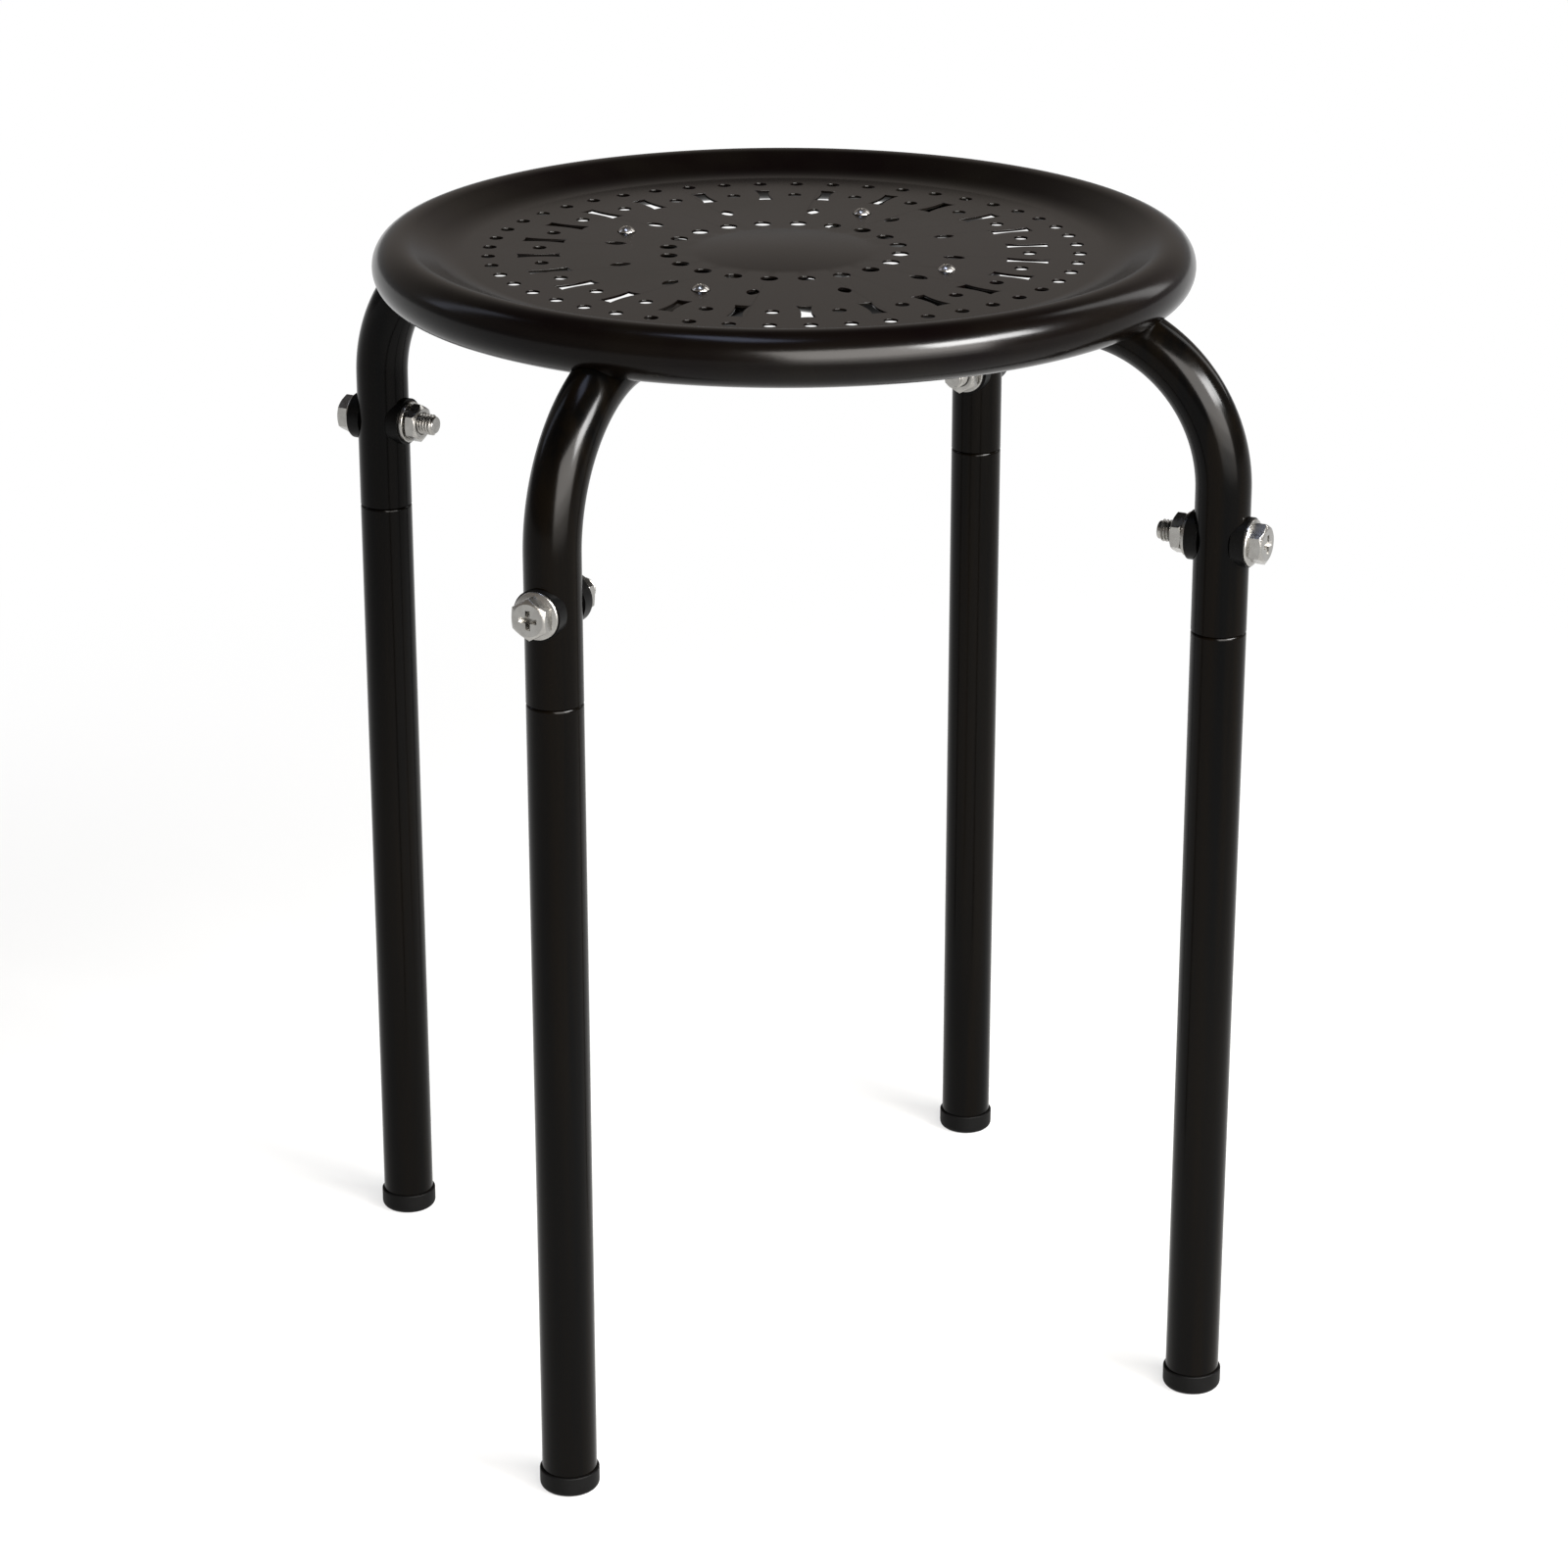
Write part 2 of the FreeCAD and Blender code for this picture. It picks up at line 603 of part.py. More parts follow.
def make_cross_tube(name, angle, crimp_height):
    """U-shaped tube: pressed flat in the middle, tapering to round, then bent down into two arms."""
    body = new_body(name)
    middle = new_sketch(body, "crimp_section", "YZ_Plane")
    draw_crimp_ring(middle, crimp_height)
    pad(body, "crimp", middle, "crimp_half_length")

    taper_start = new_sketch(body, "taper_start", "YZ_Plane", "crimp_half_length")
    draw_crimp_ring(taper_start, crimp_height)
    taper_end = new_sketch(body, "taper_end", "YZ_Plane", "crimp_end")
    draw_tube_ring(taper_end)
    taper = body.newObject("PartDesign::AdditiveLoft", "crimp_taper")
    taper.Profile = taper_start
    taper.Sections = [taper_end]
    taper.Ruled = True

    route = new_sketch(body, "arm_route", "XZ_Plane")
    add_outline(route, [
        ("crimp_end", "tube_axis_height"),
        ("bend_centre_radius", "tube_axis_height"),
        ("leg_circle_radius", "bend_centre_height"),
        ("leg_circle_radius", "seam_height"),
    ], {1: ("bend_radius", "right")}, closed=False)
    section = new_sketch(body, "arm_section", "YZ_Plane", "crimp_end")
    draw_tube_ring(section)
    arm = body.newObject("PartDesign::AdditivePipe", "bent_arm")
    arm.Profile = section
    arm.Spine = route

    doc.recompute()
    whole = body.newObject("PartDesign::Mirrored", "both_arms")
    whole.TransformMode = "Whole shape"
    whole.MirrorPlane = (origin_feature(body, "YZ_Plane"), [""])
    body.Tip = whole

    cut_bolt_hole(body)
    insert_holes = new_sketch(body, "insert_hole_outline", "XY_Plane", "tube_axis_height")
    add_circle(insert_holes, "screw_circle_radius", ON_AXIS, "insert_hole_radius")
    add_circle(insert_holes, "-screw_circle_radius", ON_AXIS, "insert_hole_radius")
    top_wall_cut = body.newObject("PartDesign::Pocket", "insert_holes")
    top_wall_cut.Profile = insert_holes
    top_wall_cut.Type = "ThroughAll"
    top_wall_cut.Reversed = True
    body.Placement = Placement(Vector(), Rotation(UP, angle))
    return body


def make_leg(name, angle):
    """Straight tube leg with a rounded shoulder and a swaged neck that slides into the arm above."""
    body = new_body(name)
    corners = [
        ("tube_radius", "plug_height"),
        ("tube_radius", "shoulder_start"),
        ("neck_radius", "seam_height"),
        ("neck_radius", "neck_top"),
        ("neck_bore", "neck_top"),
        ("neck_bore", "inner_shoulder_end"),
        ("tube_bore", "inner_shoulder_start"),
        ("tube_bore", "plug_height"),
    ]
    revolve(body, "swaged_tube", corners, {1: ("shoulder_radius", "left")})
    cut_bolt_hole(body)
    stand_on_circle(body, angle, "leg_circle_radius")
    return body


def make_foot_plug(name, angle):
    """Plastic foot: a round head under the tube's end and a stem that fills its bore."""
    body = new_body(name)
    corners = [
        (ON_AXIS, "plug_hollow_depth"),
        ("plug_hollow_radius", "plug_hollow_depth"),
        ("plug_hollow_radius", ON_AXIS),
        ("plug_flat_radius", ON_AXIS),
        ("plug_radius", "plug_round"),
        ("plug_radius", "plug_height"),
        ("stem_radius", "plug_height"),
        ("stem_radius", "stem_chamfer_start"),
        ("stem_tip_radius", "stem_top"),
        (ON_AXIS, "stem_top"),
    ]
    revolve(body, "head_and_stem", corners, {3: ("plug_round", "left")})
    stand_on_circle(body, angle, "leg_circle_radius")
    return body


def make_leg_bolt(name, angle):
    """Flanged hexagon bolt with a cross recess, from outside through saddle, arm and neck."""
    body = new_body(name)
    corners = [
        (ON_AXIS, "-bolt_tip"),
        ("bolt_tip_radius", "-bolt_tip"),
        ("bolt_radius", "-bolt_chamfer_start"),
        ("bolt_radius", "saddle_back"),
        ("flange_radius", "saddle_back"),
        ("flange_radius", "flange_edge_height"),
        ("flange_inner_radius", "flange_top"),
        (ON_AXIS, "flange_top"),
    ]
    revolve(body, "shank_and_flange", corners)
    hexagon = new_sketch(body, "head_outline", "XY_Plane", "flange_top")
    draw_hexagon(hexagon)
    pad(body, "head", hexagon, "head_height")
    cut_hex_chamfer(body, "head_chamfer", "head_top", "head_chamfer_level")
    cut_cross_recess(body, "recess_half_span", "recess_half_width", "head_top", "recess_depth")
    point_along_bolt(body, angle)
    return body


def make_saddle(name, angle, facing):
    """Round washer with a flat back and a hollow front that hugs the tube."""
    body = new_body(name)
    disc = new_sketch(body, "disc_outline", "XY_Plane", "saddle_front")
    add_circle(disc, ON_AXIS, ON_AXIS, "saddle_radius")
    add_circle(disc, ON_AXIS, ON_AXIS, "bolt_hole_radius")
    pad(body, "disc", disc, "saddle_depth")
    hollow = new_sketch(body, "tube_outline", "YZ_Plane")
    add_circle(hollow, ON_AXIS, ON_AXIS, "saddle_hollow_radius")
    cut_through(body, "tube_hollow", hollow)
    point_along_bolt(body, angle, facing)
    return body


def make_flat_washer(name, angle):
    """Flat washer between the inner saddle and the nut."""
    body = new_body(name)
    ring = new_sketch(body, "ring_outline", "XY_Plane", "saddle_back")
    add_circle(ring, ON_AXIS, ON_AXIS, "washer_radius")
    add_circle(ring, ON_AXIS, ON_AXIS, "bolt_hole_radius")
    pad(body, "ring", ring, "washer_thickness")
    point_along_bolt(body, angle, HALF_TURN)
    return body


def make_leg_nut(name, angle):
    """Hexagon nut, its corners turned down on both faces."""
    body = new_body(name)
    hexagon = new_sketch(body, "nut_outline", "XY_Plane", "washer_back")
    draw_hexagon(hexagon)
    add_circle(hexagon, ON_AXIS, ON_AXIS, "nut_bore")
    pad(body, "nut", hexagon, "nut_height")
    cut_hex_chamfer(body, "back_chamfer", "nut_back", "nut_back_chamfer_level")
    cut_hex_chamfer(body, "front_chamfer", "washer_back", "nut_front_chamfer_level")
    point_along_bolt(body, angle, HALF_TURN)
    return body


def make_seat_screw(name, angle):
    """Raised countersunk screw with a cross recess, from the seat's flat down into its rivet nut."""
    body = new_body(name)
    corners = [
        (ON_AXIS, "-screw_length"),
        ("screw_radius", "-screw_length"),
        ("screw_radius", "-sheet_thickness"),
        ("screw_head_radius", ON_AXIS),
        (ON_AXIS, "screw_dome_rise"),
    ]
    revolve(body, "shank_and_head", corners, {3: ("screw_dome_sphere", "left")})
    cut_cross_recess(body, "screw_recess_half_span", "screw_recess_half_width",
                     "screw_dome_rise", "screw_recess_depth")
    stand_on_circle(body, angle, "screw_circle_radius", "seat_top")
    return body


def make_rivet_nut(name, angle):
    """Threaded insert in the top wall of a cross tube, held by its bulge under the wall."""
    body = new_body(name)
    corners = [
        ("insert_bore", "tube_radius"),
        ("insert_bore", "insert_end"),
        ("insert_radius", "insert_end"),
        ("insert_radius", "bulge_bottom"),
        ("bulge_radius", "bulge_bottom"),
        ("bulge_radius", "bulge_top"),
        ("insert_radius", "bulge_top"),
        ("insert_radius", "tube_radius"),
    ]
    revolve(body, "insert", corners)
    stand_on_circle(body, angle, "screw_circle_radius", "tube_axis_height")
    return body


def make_stool():
    """Make every piece of the stool."""
    pieces = [
        make_seat_pan(),
        make_cross_tube("cross_tube_upper", LEG_ANGLES["back"], "upper_crimp_height"),
        make_cross_tube("cross_tube_lower", LEG_ANGLES["right"], "lower_crimp_height"),
    ]
    for side, angle in LEG_ANGLES.items():
        pieces += [
            make_leg(f"leg_{side}", angle),
            make_foot_plug(f"foot_plug_{side}", angle),
            make_leg_bolt(f"leg_bolt_{side}", angle),
            make_saddle(f"saddle_outer_{side}", angle, 0),
            make_saddle(f"saddle_inner_{side}", angle, HALF_TURN),
            make_flat_washer(f"flat_washer_{side}", angle),
            make_leg_nut(f"leg_nut_{side}", angle),
            make_seat_screw(f"seat_screw_{side}", angle),
            make_rivet_nut(f"rivet_nut_{side}", angle),
        ]
    return pieces


def check_pieces(pieces):
    """Stop if any object failed, or if a piece isn't one valid solid."""
    failed = [item.Name for item in doc.Objects if {"Invalid", "Error"} & set(item.State)]
    if failed:
        raise RuntimeError(f"failed objects: {failed}")
    for piece in pieces:
        shape = piece.Shape
        if shape.isNull() or not shape.isValid() or len(shape.Solids) != 1:
            raise RuntimeError(f"{piece.Label} isn't one valid solid")


def write_pieces(pieces):
    """Write one file per piece, named after it."""
    os.makedirs(PARTS_FOLDER, exist_ok=True)
    for piece in pieces:
        piece.Shape.exportStep(os.path.join(PARTS_FOLDER, f"{piece.Label}.step"))
        box = piece.Shape.BoundBox
        print(f"{piece.Label}: volume {piece.Shape.Volume:.1f} mm3,",
              f"x {box.XMin:.2f} to {box.XMax:.2f}, y {box.YMin:.2f} to {box.YMax:.2f},",
              f"z {box.ZMin:.2f} to {box.ZMax:.2f}")


fill_sheet()
stool_pieces = make_stool()
doc.recompute()
check_pieces(stool_pieces)
write_pieces(stool_pieces)
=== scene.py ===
"""Stacking stool: a perforated pressed seat on two crossed U-tubes and four bolted tube legs."""

import math

import bmesh
import bpy
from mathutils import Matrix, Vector


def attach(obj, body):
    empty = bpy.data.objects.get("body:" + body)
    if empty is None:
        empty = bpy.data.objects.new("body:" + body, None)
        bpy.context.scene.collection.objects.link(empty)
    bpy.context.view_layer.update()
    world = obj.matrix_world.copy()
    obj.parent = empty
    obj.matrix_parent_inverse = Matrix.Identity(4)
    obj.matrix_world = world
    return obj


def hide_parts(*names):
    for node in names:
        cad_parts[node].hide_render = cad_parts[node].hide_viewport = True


bl_info = {
    "name": "Stacking Stool",
    "version": (1, 0, 0),
    "blender": (4, 5, 0),
    "location": "View3D > Sidebar > Stool",
    "description": "Builds a stacking stool piece by piece, with its finishes and a plain studio",
    "category": "Add Mesh",
}

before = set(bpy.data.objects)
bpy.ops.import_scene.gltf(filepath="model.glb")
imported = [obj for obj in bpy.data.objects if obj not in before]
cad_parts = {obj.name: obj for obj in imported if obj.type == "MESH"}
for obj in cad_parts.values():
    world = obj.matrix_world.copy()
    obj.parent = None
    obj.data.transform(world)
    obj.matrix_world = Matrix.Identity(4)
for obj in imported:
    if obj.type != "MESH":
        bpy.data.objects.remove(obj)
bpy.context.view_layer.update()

MM = 0.001
BODY = "root"
FULL_TURN = 2 * math.pi
QUARTER_TURN = math.pi / 2
MERGE_DISTANCE = 0.002 * MM
SAME_PLACE = 0.01 * MM

# Faces round the turned and drilled shapes
SEAT_FACES = 192
FINE_FACES = 96
ROUND_FACES = 72
SCREW_FACES = 48
HOLE_FACES = 32
SMALL_HOLE_FACES = 28

# Directions of the legs round the seat, anticlockwise from +X, in radians
LEG_TURNS = {"right": 0, "back": QUARTER_TURN, "left": 2 * QUARTER_TURN, "front": 3 * QUARTER_TURN}

# Softboxes: turn to the camera's right and height angle in degrees, width and height in metres,
# colour, and power in watts. Three strips under the key panel grade its reflection downwards, a
# strong softbox stands high on the right, and weak ones stand behind the stool and over it.
KEY_PANEL = (28, 30, 2.0, 1.05, "#fffaf5")
SOFTBOXES = {
    "panel_low": (28, 11.2, 2.0, 0.28, "#fffaf5", 24),
    "panel_foot": (28, 3.2, 2.0, 0.28, "#fffaf5", 9),
    "panel_edge": (28, -3, 2.0, 0.15, "#fffaf5", 2.5),
    "upper": (57, 36, 1.0, 0.45, "#ffffff", 125),
    "right_back": (125, 34, 0.4, 1.3, "#ffffff", 6),
    "left_back": (-110, 35, 0.3, 1.0, "#dfe8ff", 2),
    "overhead": (-60, 82, 0.7, 0.35, "#cfdcff", 6),
}


def length(name, description, millimetres):
    """Length property with a default in millimetres."""
    return bpy.props.FloatProperty(
        name=name, description=description, default=millimetres * MM, min=0,
        unit="LENGTH", subtype="DISTANCE",
    )


def angle(name, description, degrees):
    """Angle property with a default in degrees."""
    return bpy.props.FloatProperty(
        name=name, description=description, default=math.radians(degrees),
        unit="ROTATION", subtype="ANGLE",
    )


def count(name, description, default):
    """Whole number property."""
    return bpy.props.IntProperty(name=name, description=description, default=default, min=1)


def linear(code):
    """Linear red, green, blue and alpha of an sRGB hex colour."""
    channels = [int(code[place:place + 2], 16) / 255 for place in (1, 3, 5)]
    return [c / 12.92 if c <= 0.04045 else ((c + 0.055) / 1.055) ** 2.4 for c in channels] + [1.0]


def colour(name, description, code):
    """Colour property with a default as an sRGB hex code."""
    return bpy.props.FloatVectorProperty(
        name=name, description=description, default=linear(code), size=4, min=0, max=1,
        subtype="COLOR",
    )


def number(name, description, default):
    """Plain number property."""
    return bpy.props.FloatProperty(name=name, description=description, default=default, min=0)


class StoolSeatSizes(bpy.types.PropertyGroup):
    """Sizes of the pressed seat and its perforation."""

    radius: length("Seat radius", "Outside of the rolled rim", 150)
    top: length("Rim height", "Floor to the crest of the rim", 430)
    sheet: length("Sheet", "Thickness of the pressed sheet", 0.8)
    bead: length("Bead radius", "Outside radius of the rolled rim's round", 10)
    depth: length("Seat depth", "Crest of the rim down to the flat", 7)
    slope: angle("Rim slope", "Slope of the inner side of the rim from the flat", 25)
    fillet: length("Fillet", "Hollow radius between the flat and the slope", 25)
    curl: angle("Curl", "How far the bead rolls under, from straight out", 150)
    dome_radius: length("Dome radius", "Edge of the raised middle", 35)
    dome_rise: length("Dome rise", "Height of the raised middle", 1.4)
    pattern_turn: angle("Pattern turn", "Turn of the perforation from the legs", 1.6)
    outer_count: count("Outer holes", "Small holes in the outer ring", 48)
    outer_ring: length("Outer ring", "Radius of the outer ring", 107.8)
    small_hole: length("Small hole", "Radius of the small holes", 2.5)
    slot_count: count("Slots", "Radial slots, with a small hole between each two", 24)
    slot_ring: length("Slot ring", "Radius of the ring of slots", 89.5)
    slot_length: length("Slot length", "Slots along the radius", 15.5)
    slot_end: length("Slot end", "Width of a slot at its ends", 5.5)
    slot_waist: length("Slot waist", "Width of a slot at its middle", 3.6)
    slot_dip: length("Slot end dip", "How far the ends of a slot are hollowed", 0.3)
    leaf_count: count("Leaves", "Pointed openings inside the slots", 12)
    leaf_ring: length("Leaf ring", "Radius of the ring of leaves", 62.7)
    leaf_length: length("Leaf length", "Leaves along the radius", 8)
    leaf_width: length("Leaf width", "Leaves at their widest", 4.5)
    inner_count: count("Inner holes", "Holes in the inner ring", 20)
    inner_ring: length("Inner ring", "Radius of the inner ring", 42.6)
    inner_hole: length("Inner hole", "Radius of the holes in the inner ring", 3.15)
    punch_round: length("Punched edge", "Rounding that the punch leaves on the upper edges", 0.2)


class StoolTubeSizes(bpy.types.PropertyGroup):
    """Sizes of the tubes and their feet."""

    radius: length("Tube radius", "Outside of the tubes", 10)
    wall: length("Wall", "Thickness of the tube wall", 1.2)
    leg_circle: length("Leg circle", "Seat centre to each leg's axis", 174)
    bend: length("Bend radius", "Bends of the cross tubes, on their axis", 57)
    seam: length("Seam height", "Floor to the seam between leg and arm", 303.5)
    crimp_width: length("Crimp width", "Cross tubes where they are pressed flat", 28)
    crimp_half: length("Crimp half length", "Middle to where the taper starts", 16)
    crimp_taper: length("Crimp taper", "Length of the taper to the round tube", 24)
    crimp_gap: length("Crimp gap", "Air between the two cross tubes", 0.2)
    neck_gap: length("Neck clearance", "Air between a leg's neck and its arm", 0.2)
    neck_top: length("Neck top", "Floor to the top of a leg's neck", 352.4)
    notch_gap: length("Notch clearance", "Air between a bend and the notch in the bead", 0.3)
    foot_height: length("Foot height", "Floor to the end of the tube", 8)
    foot_step: length("Foot step", "How far the foot stands out from the tube", 0.9)
    foot_round: length("Foot round", "Rounding of the foot's lower edge", 2.5)
    stem: length("Foot stem", "Stem of the foot inside the tube", 20)


class StoolFixingSizes(bpy.types.PropertyGroup):
    """Sizes of the bolts, nuts, washers and screws."""

    bolt_height: length("Bolt height", "Floor to the axis of the leg bolts", 337.5)
    bolt_radius: length("Bolt radius", "Shank of the leg bolts", 4)
    bolt_length: length("Bolt length", "Under the flange to the tip", 35)
    bolt_gap: length("Bolt clearance", "Air between a bolt and the holes it goes through", 0.25)
    thread: length("Thread length", "Tip of a bolt to the end of its thread", 14)
    thread_pitch: length("Thread pitch", "Distance from ridge to ridge of the thread", 1.25)
    thread_depth: length("Thread depth", "Height of the thread's ridge", 0.7)
    flange_radius: length("Flange radius", "Flange of the bolt head", 8.5)
    flange: length("Flange thickness", "Flange at its thickest", 1.4)
    head: length("Head height", "Hexagon above the flange", 4.8)
    hexagon: length("Hexagon", "Across the flats of the heads and nuts", 13)
    hex_chamfer: length("Chamfer circle", "Radius of the circle left on a hexagon's face", 5.75)
    recess: length("Cross recess", "Span of the recess in the bolt head", 7.6)
    recess_width: length("Recess width", "Width of the recess's wings", 1.9)
    recess_depth: length("Recess depth", "Depth of the recess", 2.6)
    saddle_radius: length("Saddle radius", "Saddle washers that hug the tube", 9)
    saddle: length("Saddle thickness", "Tube to the flat back of the saddle", 1.3)
    saddle_depth: length("Saddle depth", "Flat back to the front of the saddle", 5)
    washer_radius: length("Washer radius", "Flat washers under the nuts", 8)
    washer: length("Washer thickness", "Flat washers", 1.6)
    nut: length("Nut height", "Nuts of the leg bolts", 5)
    screw_circle: length("Screw circle", "Seat centre to the seat screws", 65.33)
    screw_radius: length("Screw radius", "Shank of the seat screws", 1.95)
    screw_length: length("Screw length", "Seat flat to the tip of a screw", 14)
    screw_head: length("Screw head", "Radius of the raised head", 3.3)
    screw_rise: length("Screw head rise", "Seat flat to the top of the raised head", 2)
    screw_gap: length("Screw clearance", "Air between a screw and its countersink", 0.1)
    screw_recess: length("Screw recess", "Span of the cross recess in a screw", 3.4)
    screw_recess_width: length("Screw recess width", "Width of the recess's wings", 0.9)
    screw_recess_depth: length("Screw recess depth", "Depth of the recess", 1.1)
    insert_hole: length("Insert hole", "Radius of the rivet nuts' holes in the cross tubes", 3.1)


class StoolFinishes(bpy.types.PropertyGroup):
    """Colours of the finishes."""

    coat: colour("Coat", "Black coat of the tubes", "#010101")
    # The browner streaks this colour draws along the tubes are painted reflection.
    coat_painted_reflection: colour("Coat, warm", "Browner patches of the coat", "#030201")
    seat: colour("Seat coat", "Black coat of the seat", "#020101")
    seat_warm: colour("Seat coat, warm", "Browner patches of the seat's coat", "#040302")
    foot: colour("Foot", "Moulded feet", "#010101")
    foot_pale: colour("Foot, pale", "Paler patches of the feet", "#040404")
    saddle: colour("Saddle", "Moulded saddle washers", "#010101")
    saddle_pale: colour("Saddle, pale", "Paler patches of the saddle washers", "#030303")
    zinc: colour("Zinc", "Plating of bolts, nuts and washers", "#a9a8a4")
    zinc_dull: colour("Zinc, dull", "Duller patches of the zinc", "#84827f")
    nickel: colour("Nickel", "Plating of the seat screws", "#aeaca8")
    nickel_dull: colour("Nickel, dull", "Duller patches of the nickel", "#94918d")
    floor: colour("Floor", "Studio floor", "#bcbcba")
    low_walls: colour("Low walls", "Studio walls near the floor", "#f2f0f0")
    high_walls: colour("High walls", "Studio walls and ceiling", "#fff3e9")


class StoolStage(bpy.types.PropertyGroup):
    """Viewing angle and lights."""

    azimuth: angle("Azimuth", "Camera's turn round the stool", 26.7)
    elevation: angle("Elevation", "Camera's height angle", 20.55)
    distance: length("Distance", "Camera to the middle of the stool", 1686)
    target: length("Target height", "Height that the camera looks at", 215)
    lens: number("Lens", "Focal length in millimetres", 101.5)
    walls: number("Walls", "Strength of the pale walls", 0.345)
    ceiling: number("Ceiling", "Strength of the dim ceiling", 0.07)
    key: number("Key", "Power of the large panel in watts", 158)
    light_distance: length("Light distance", "Softboxes to the middle of the stool", 2000)


def flat_height():
    """Height of the seat's flat."""
    seat = bpy.context.scene.stool_seat
    return seat.top - seat.depth


def cross_tube_height():
    """Height of the cross tubes' axis, with the tubes close under the seat."""
    scene = bpy.context.scene
    return flat_height() - scene.stool_seat.sheet - scene.stool_tubes.radius


def saddle_back():
    """Distance from a leg's axis to the flat back of its saddle washers."""
    scene = bpy.context.scene
    return scene.stool_tubes.radius + scene.stool_fixings.saddle


def only(piece):
    """Select one object and make it active."""
    bpy.ops.object.select_all(action="DESELECT")
    piece.select_set(True)
    bpy.context.view_layer.objects.active = piece


def begin_edit(piece):
    """Open a piece in edit mode with everything in it selected."""
    only(piece)
    bpy.ops.object.mode_set(mode="EDIT")
    bpy.ops.mesh.select_all(action="SELECT")
    return bmesh.from_edit_mesh(piece.data)


def end_edit():
    """Leave edit mode."""
    bpy.ops.object.mode_set(mode="OBJECT")


def pick(mesh, test):
    """Select, in edit mode, just the vertices that pass a test."""
    bpy.ops.mesh.select_all(action="DESELECT")
    for vertex in mesh.verts:
        vertex.select_set(test(vertex.co))
    mesh.select_flush_mode()


def named(piece, name):
    """Name an object and its mesh alike."""
    piece.name = name
    piece.data.name = name
    return piece


def settle(piece):
    """Bring a piece's place and turn into its mesh, so that its object sits at the origin."""
    only(piece)
    bpy.ops.object.transform_apply(location=True, rotation=True, scale=True)
    return piece


def close_up(piece, outward=True):
    """Merge doubled points and turn all faces outwards."""
    begin_edit(piece)
    bpy.ops.mesh.remove_doubles(threshold=MERGE_DISTANCE)
    if outward:
        bpy.ops.mesh.normals_make_consistent(inside=False)
    end_edit()
    return piece


def mend(piece):
    """Take out doubled points and faces without an area, and close holes of three or four sides."""
    begin_edit(piece)
    bpy.ops.mesh.remove_doubles(threshold=MERGE_DISTANCE)
    bpy.ops.mesh.dissolve_degenerate(threshold=MERGE_DISTANCE)
    bpy.ops.mesh.select_all(action="SELECT")
    bpy.ops.mesh.fill_holes(sides=4)
    end_edit()
    return piece


def extrude(step):
    """Extrude what is selected in edit mode by a step."""
    bpy.ops.mesh.extrude_region_move(TRANSFORM_OT_translate={"value": step})


def trace(name, points):
    """Line of edges through points, extruded from one vertex, left open in edit mode."""
    bpy.ops.object.select_all(action="DESELECT")
    bpy.ops.mesh.primitive_plane_add(size=MM, location=points[0])
    piece = settle(named(bpy.context.object, name))
    begin_edit(piece)
    bpy.ops.mesh.merge(type="CENTER")
    for last, point in zip(points, points[1:]):
        extrude(Vector(point) - Vector(last))
    return piece


def arc(centre, radius, start, end, steps):
    """Points of an arc in a plane, from a start angle to an end angle."""
    turns = [start + (end - start) * step / steps for step in range(steps + 1)]
    return [(centre[0] + radius * math.cos(t), centre[1] + radius * math.sin(t)) for t in turns]


def lathe(name, profile, steps, centre=0.0):
    """Turn a profile of radius and height round an upright axis at x = centre."""
    piece = trace(name, [(centre + radius, 0, height) for radius, height in profile])
    bpy.ops.mesh.select_all(action="SELECT")
    bpy.ops.mesh.spin(steps=steps, angle=FULL_TURN, center=(centre, 0, 0), axis=(0, 0, 1))
    end_edit()
    return close_up(piece)


def plate(name, outline, low, high):
    """Raise a flat outline in X and Y into a plate from one height to another."""
    piece = trace(name, [(x, y, low) for x, y in outline])
    bpy.ops.mesh.select_all(action="SELECT")
    bpy.ops.mesh.edge_face_add()
    extrude((0, 0, high - low))
    end_edit()
    return close_up(piece)


def rod(name, radius, low, high, x=0.0, steps=HOLE_FACES):
    """Upright round rod between two heights."""
    bpy.ops.object.select_all(action="DESELECT")
    bpy.ops.mesh.primitive_cylinder_add(
        vertices=steps, radius=radius, depth=high - low, location=(x, 0, (low + high) / 2)
    )
    return settle(named(bpy.context.object, name))


def bolt_drill(low, high):
    """Drill for a leg bolt along X, at the bolts' height."""
    fixings = bpy.context.scene.stool_fixings
    drill = rod("bolt_drill", fixings.bolt_radius + fixings.bolt_gap, low, high)
    drill.rotation_euler.y = QUARTER_TURN
    drill.location.z = fixings.bolt_height
    return settle(drill)


def join(pieces):
    """Join pieces into the first."""
    bpy.ops.object.select_all(action="DESELECT")
    for piece in pieces:
        piece.select_set(True)
    bpy.context.view_layer.objects.active = pieces[0]
    bpy.ops.object.join()
    return pieces[0]


def apply_modifier(piece, kind, **settings):
    """Add a modifier with its settings and apply it."""
    modifier = piece.modifiers.new(kind.lower(), kind)
    for name, value in settings.items():
        setattr(modifier, name, value)
    only(piece)
    bpy.ops.object.modifier_apply(modifier=modifier.name)
    return piece


def combine(piece, other, operation="DIFFERENCE"):
    """Cut, join or intersect a piece with another, which is used up."""
    apply_modifier(piece, "BOOLEAN", operation=operation, solver="EXACT", object=other)
    only(other)
    bpy.ops.object.delete()
    return piece


def soften(piece, width, steps, limit):
    """Round the edges of a piece that are sharper than a limit in degrees."""
    apply_modifier(
        piece, "BEVEL", width=width, segments=steps, limit_method="ANGLE",
        angle_limit=math.radians(limit), use_clamp_overlap=True, miter_outer="MITER_ARC",
    )


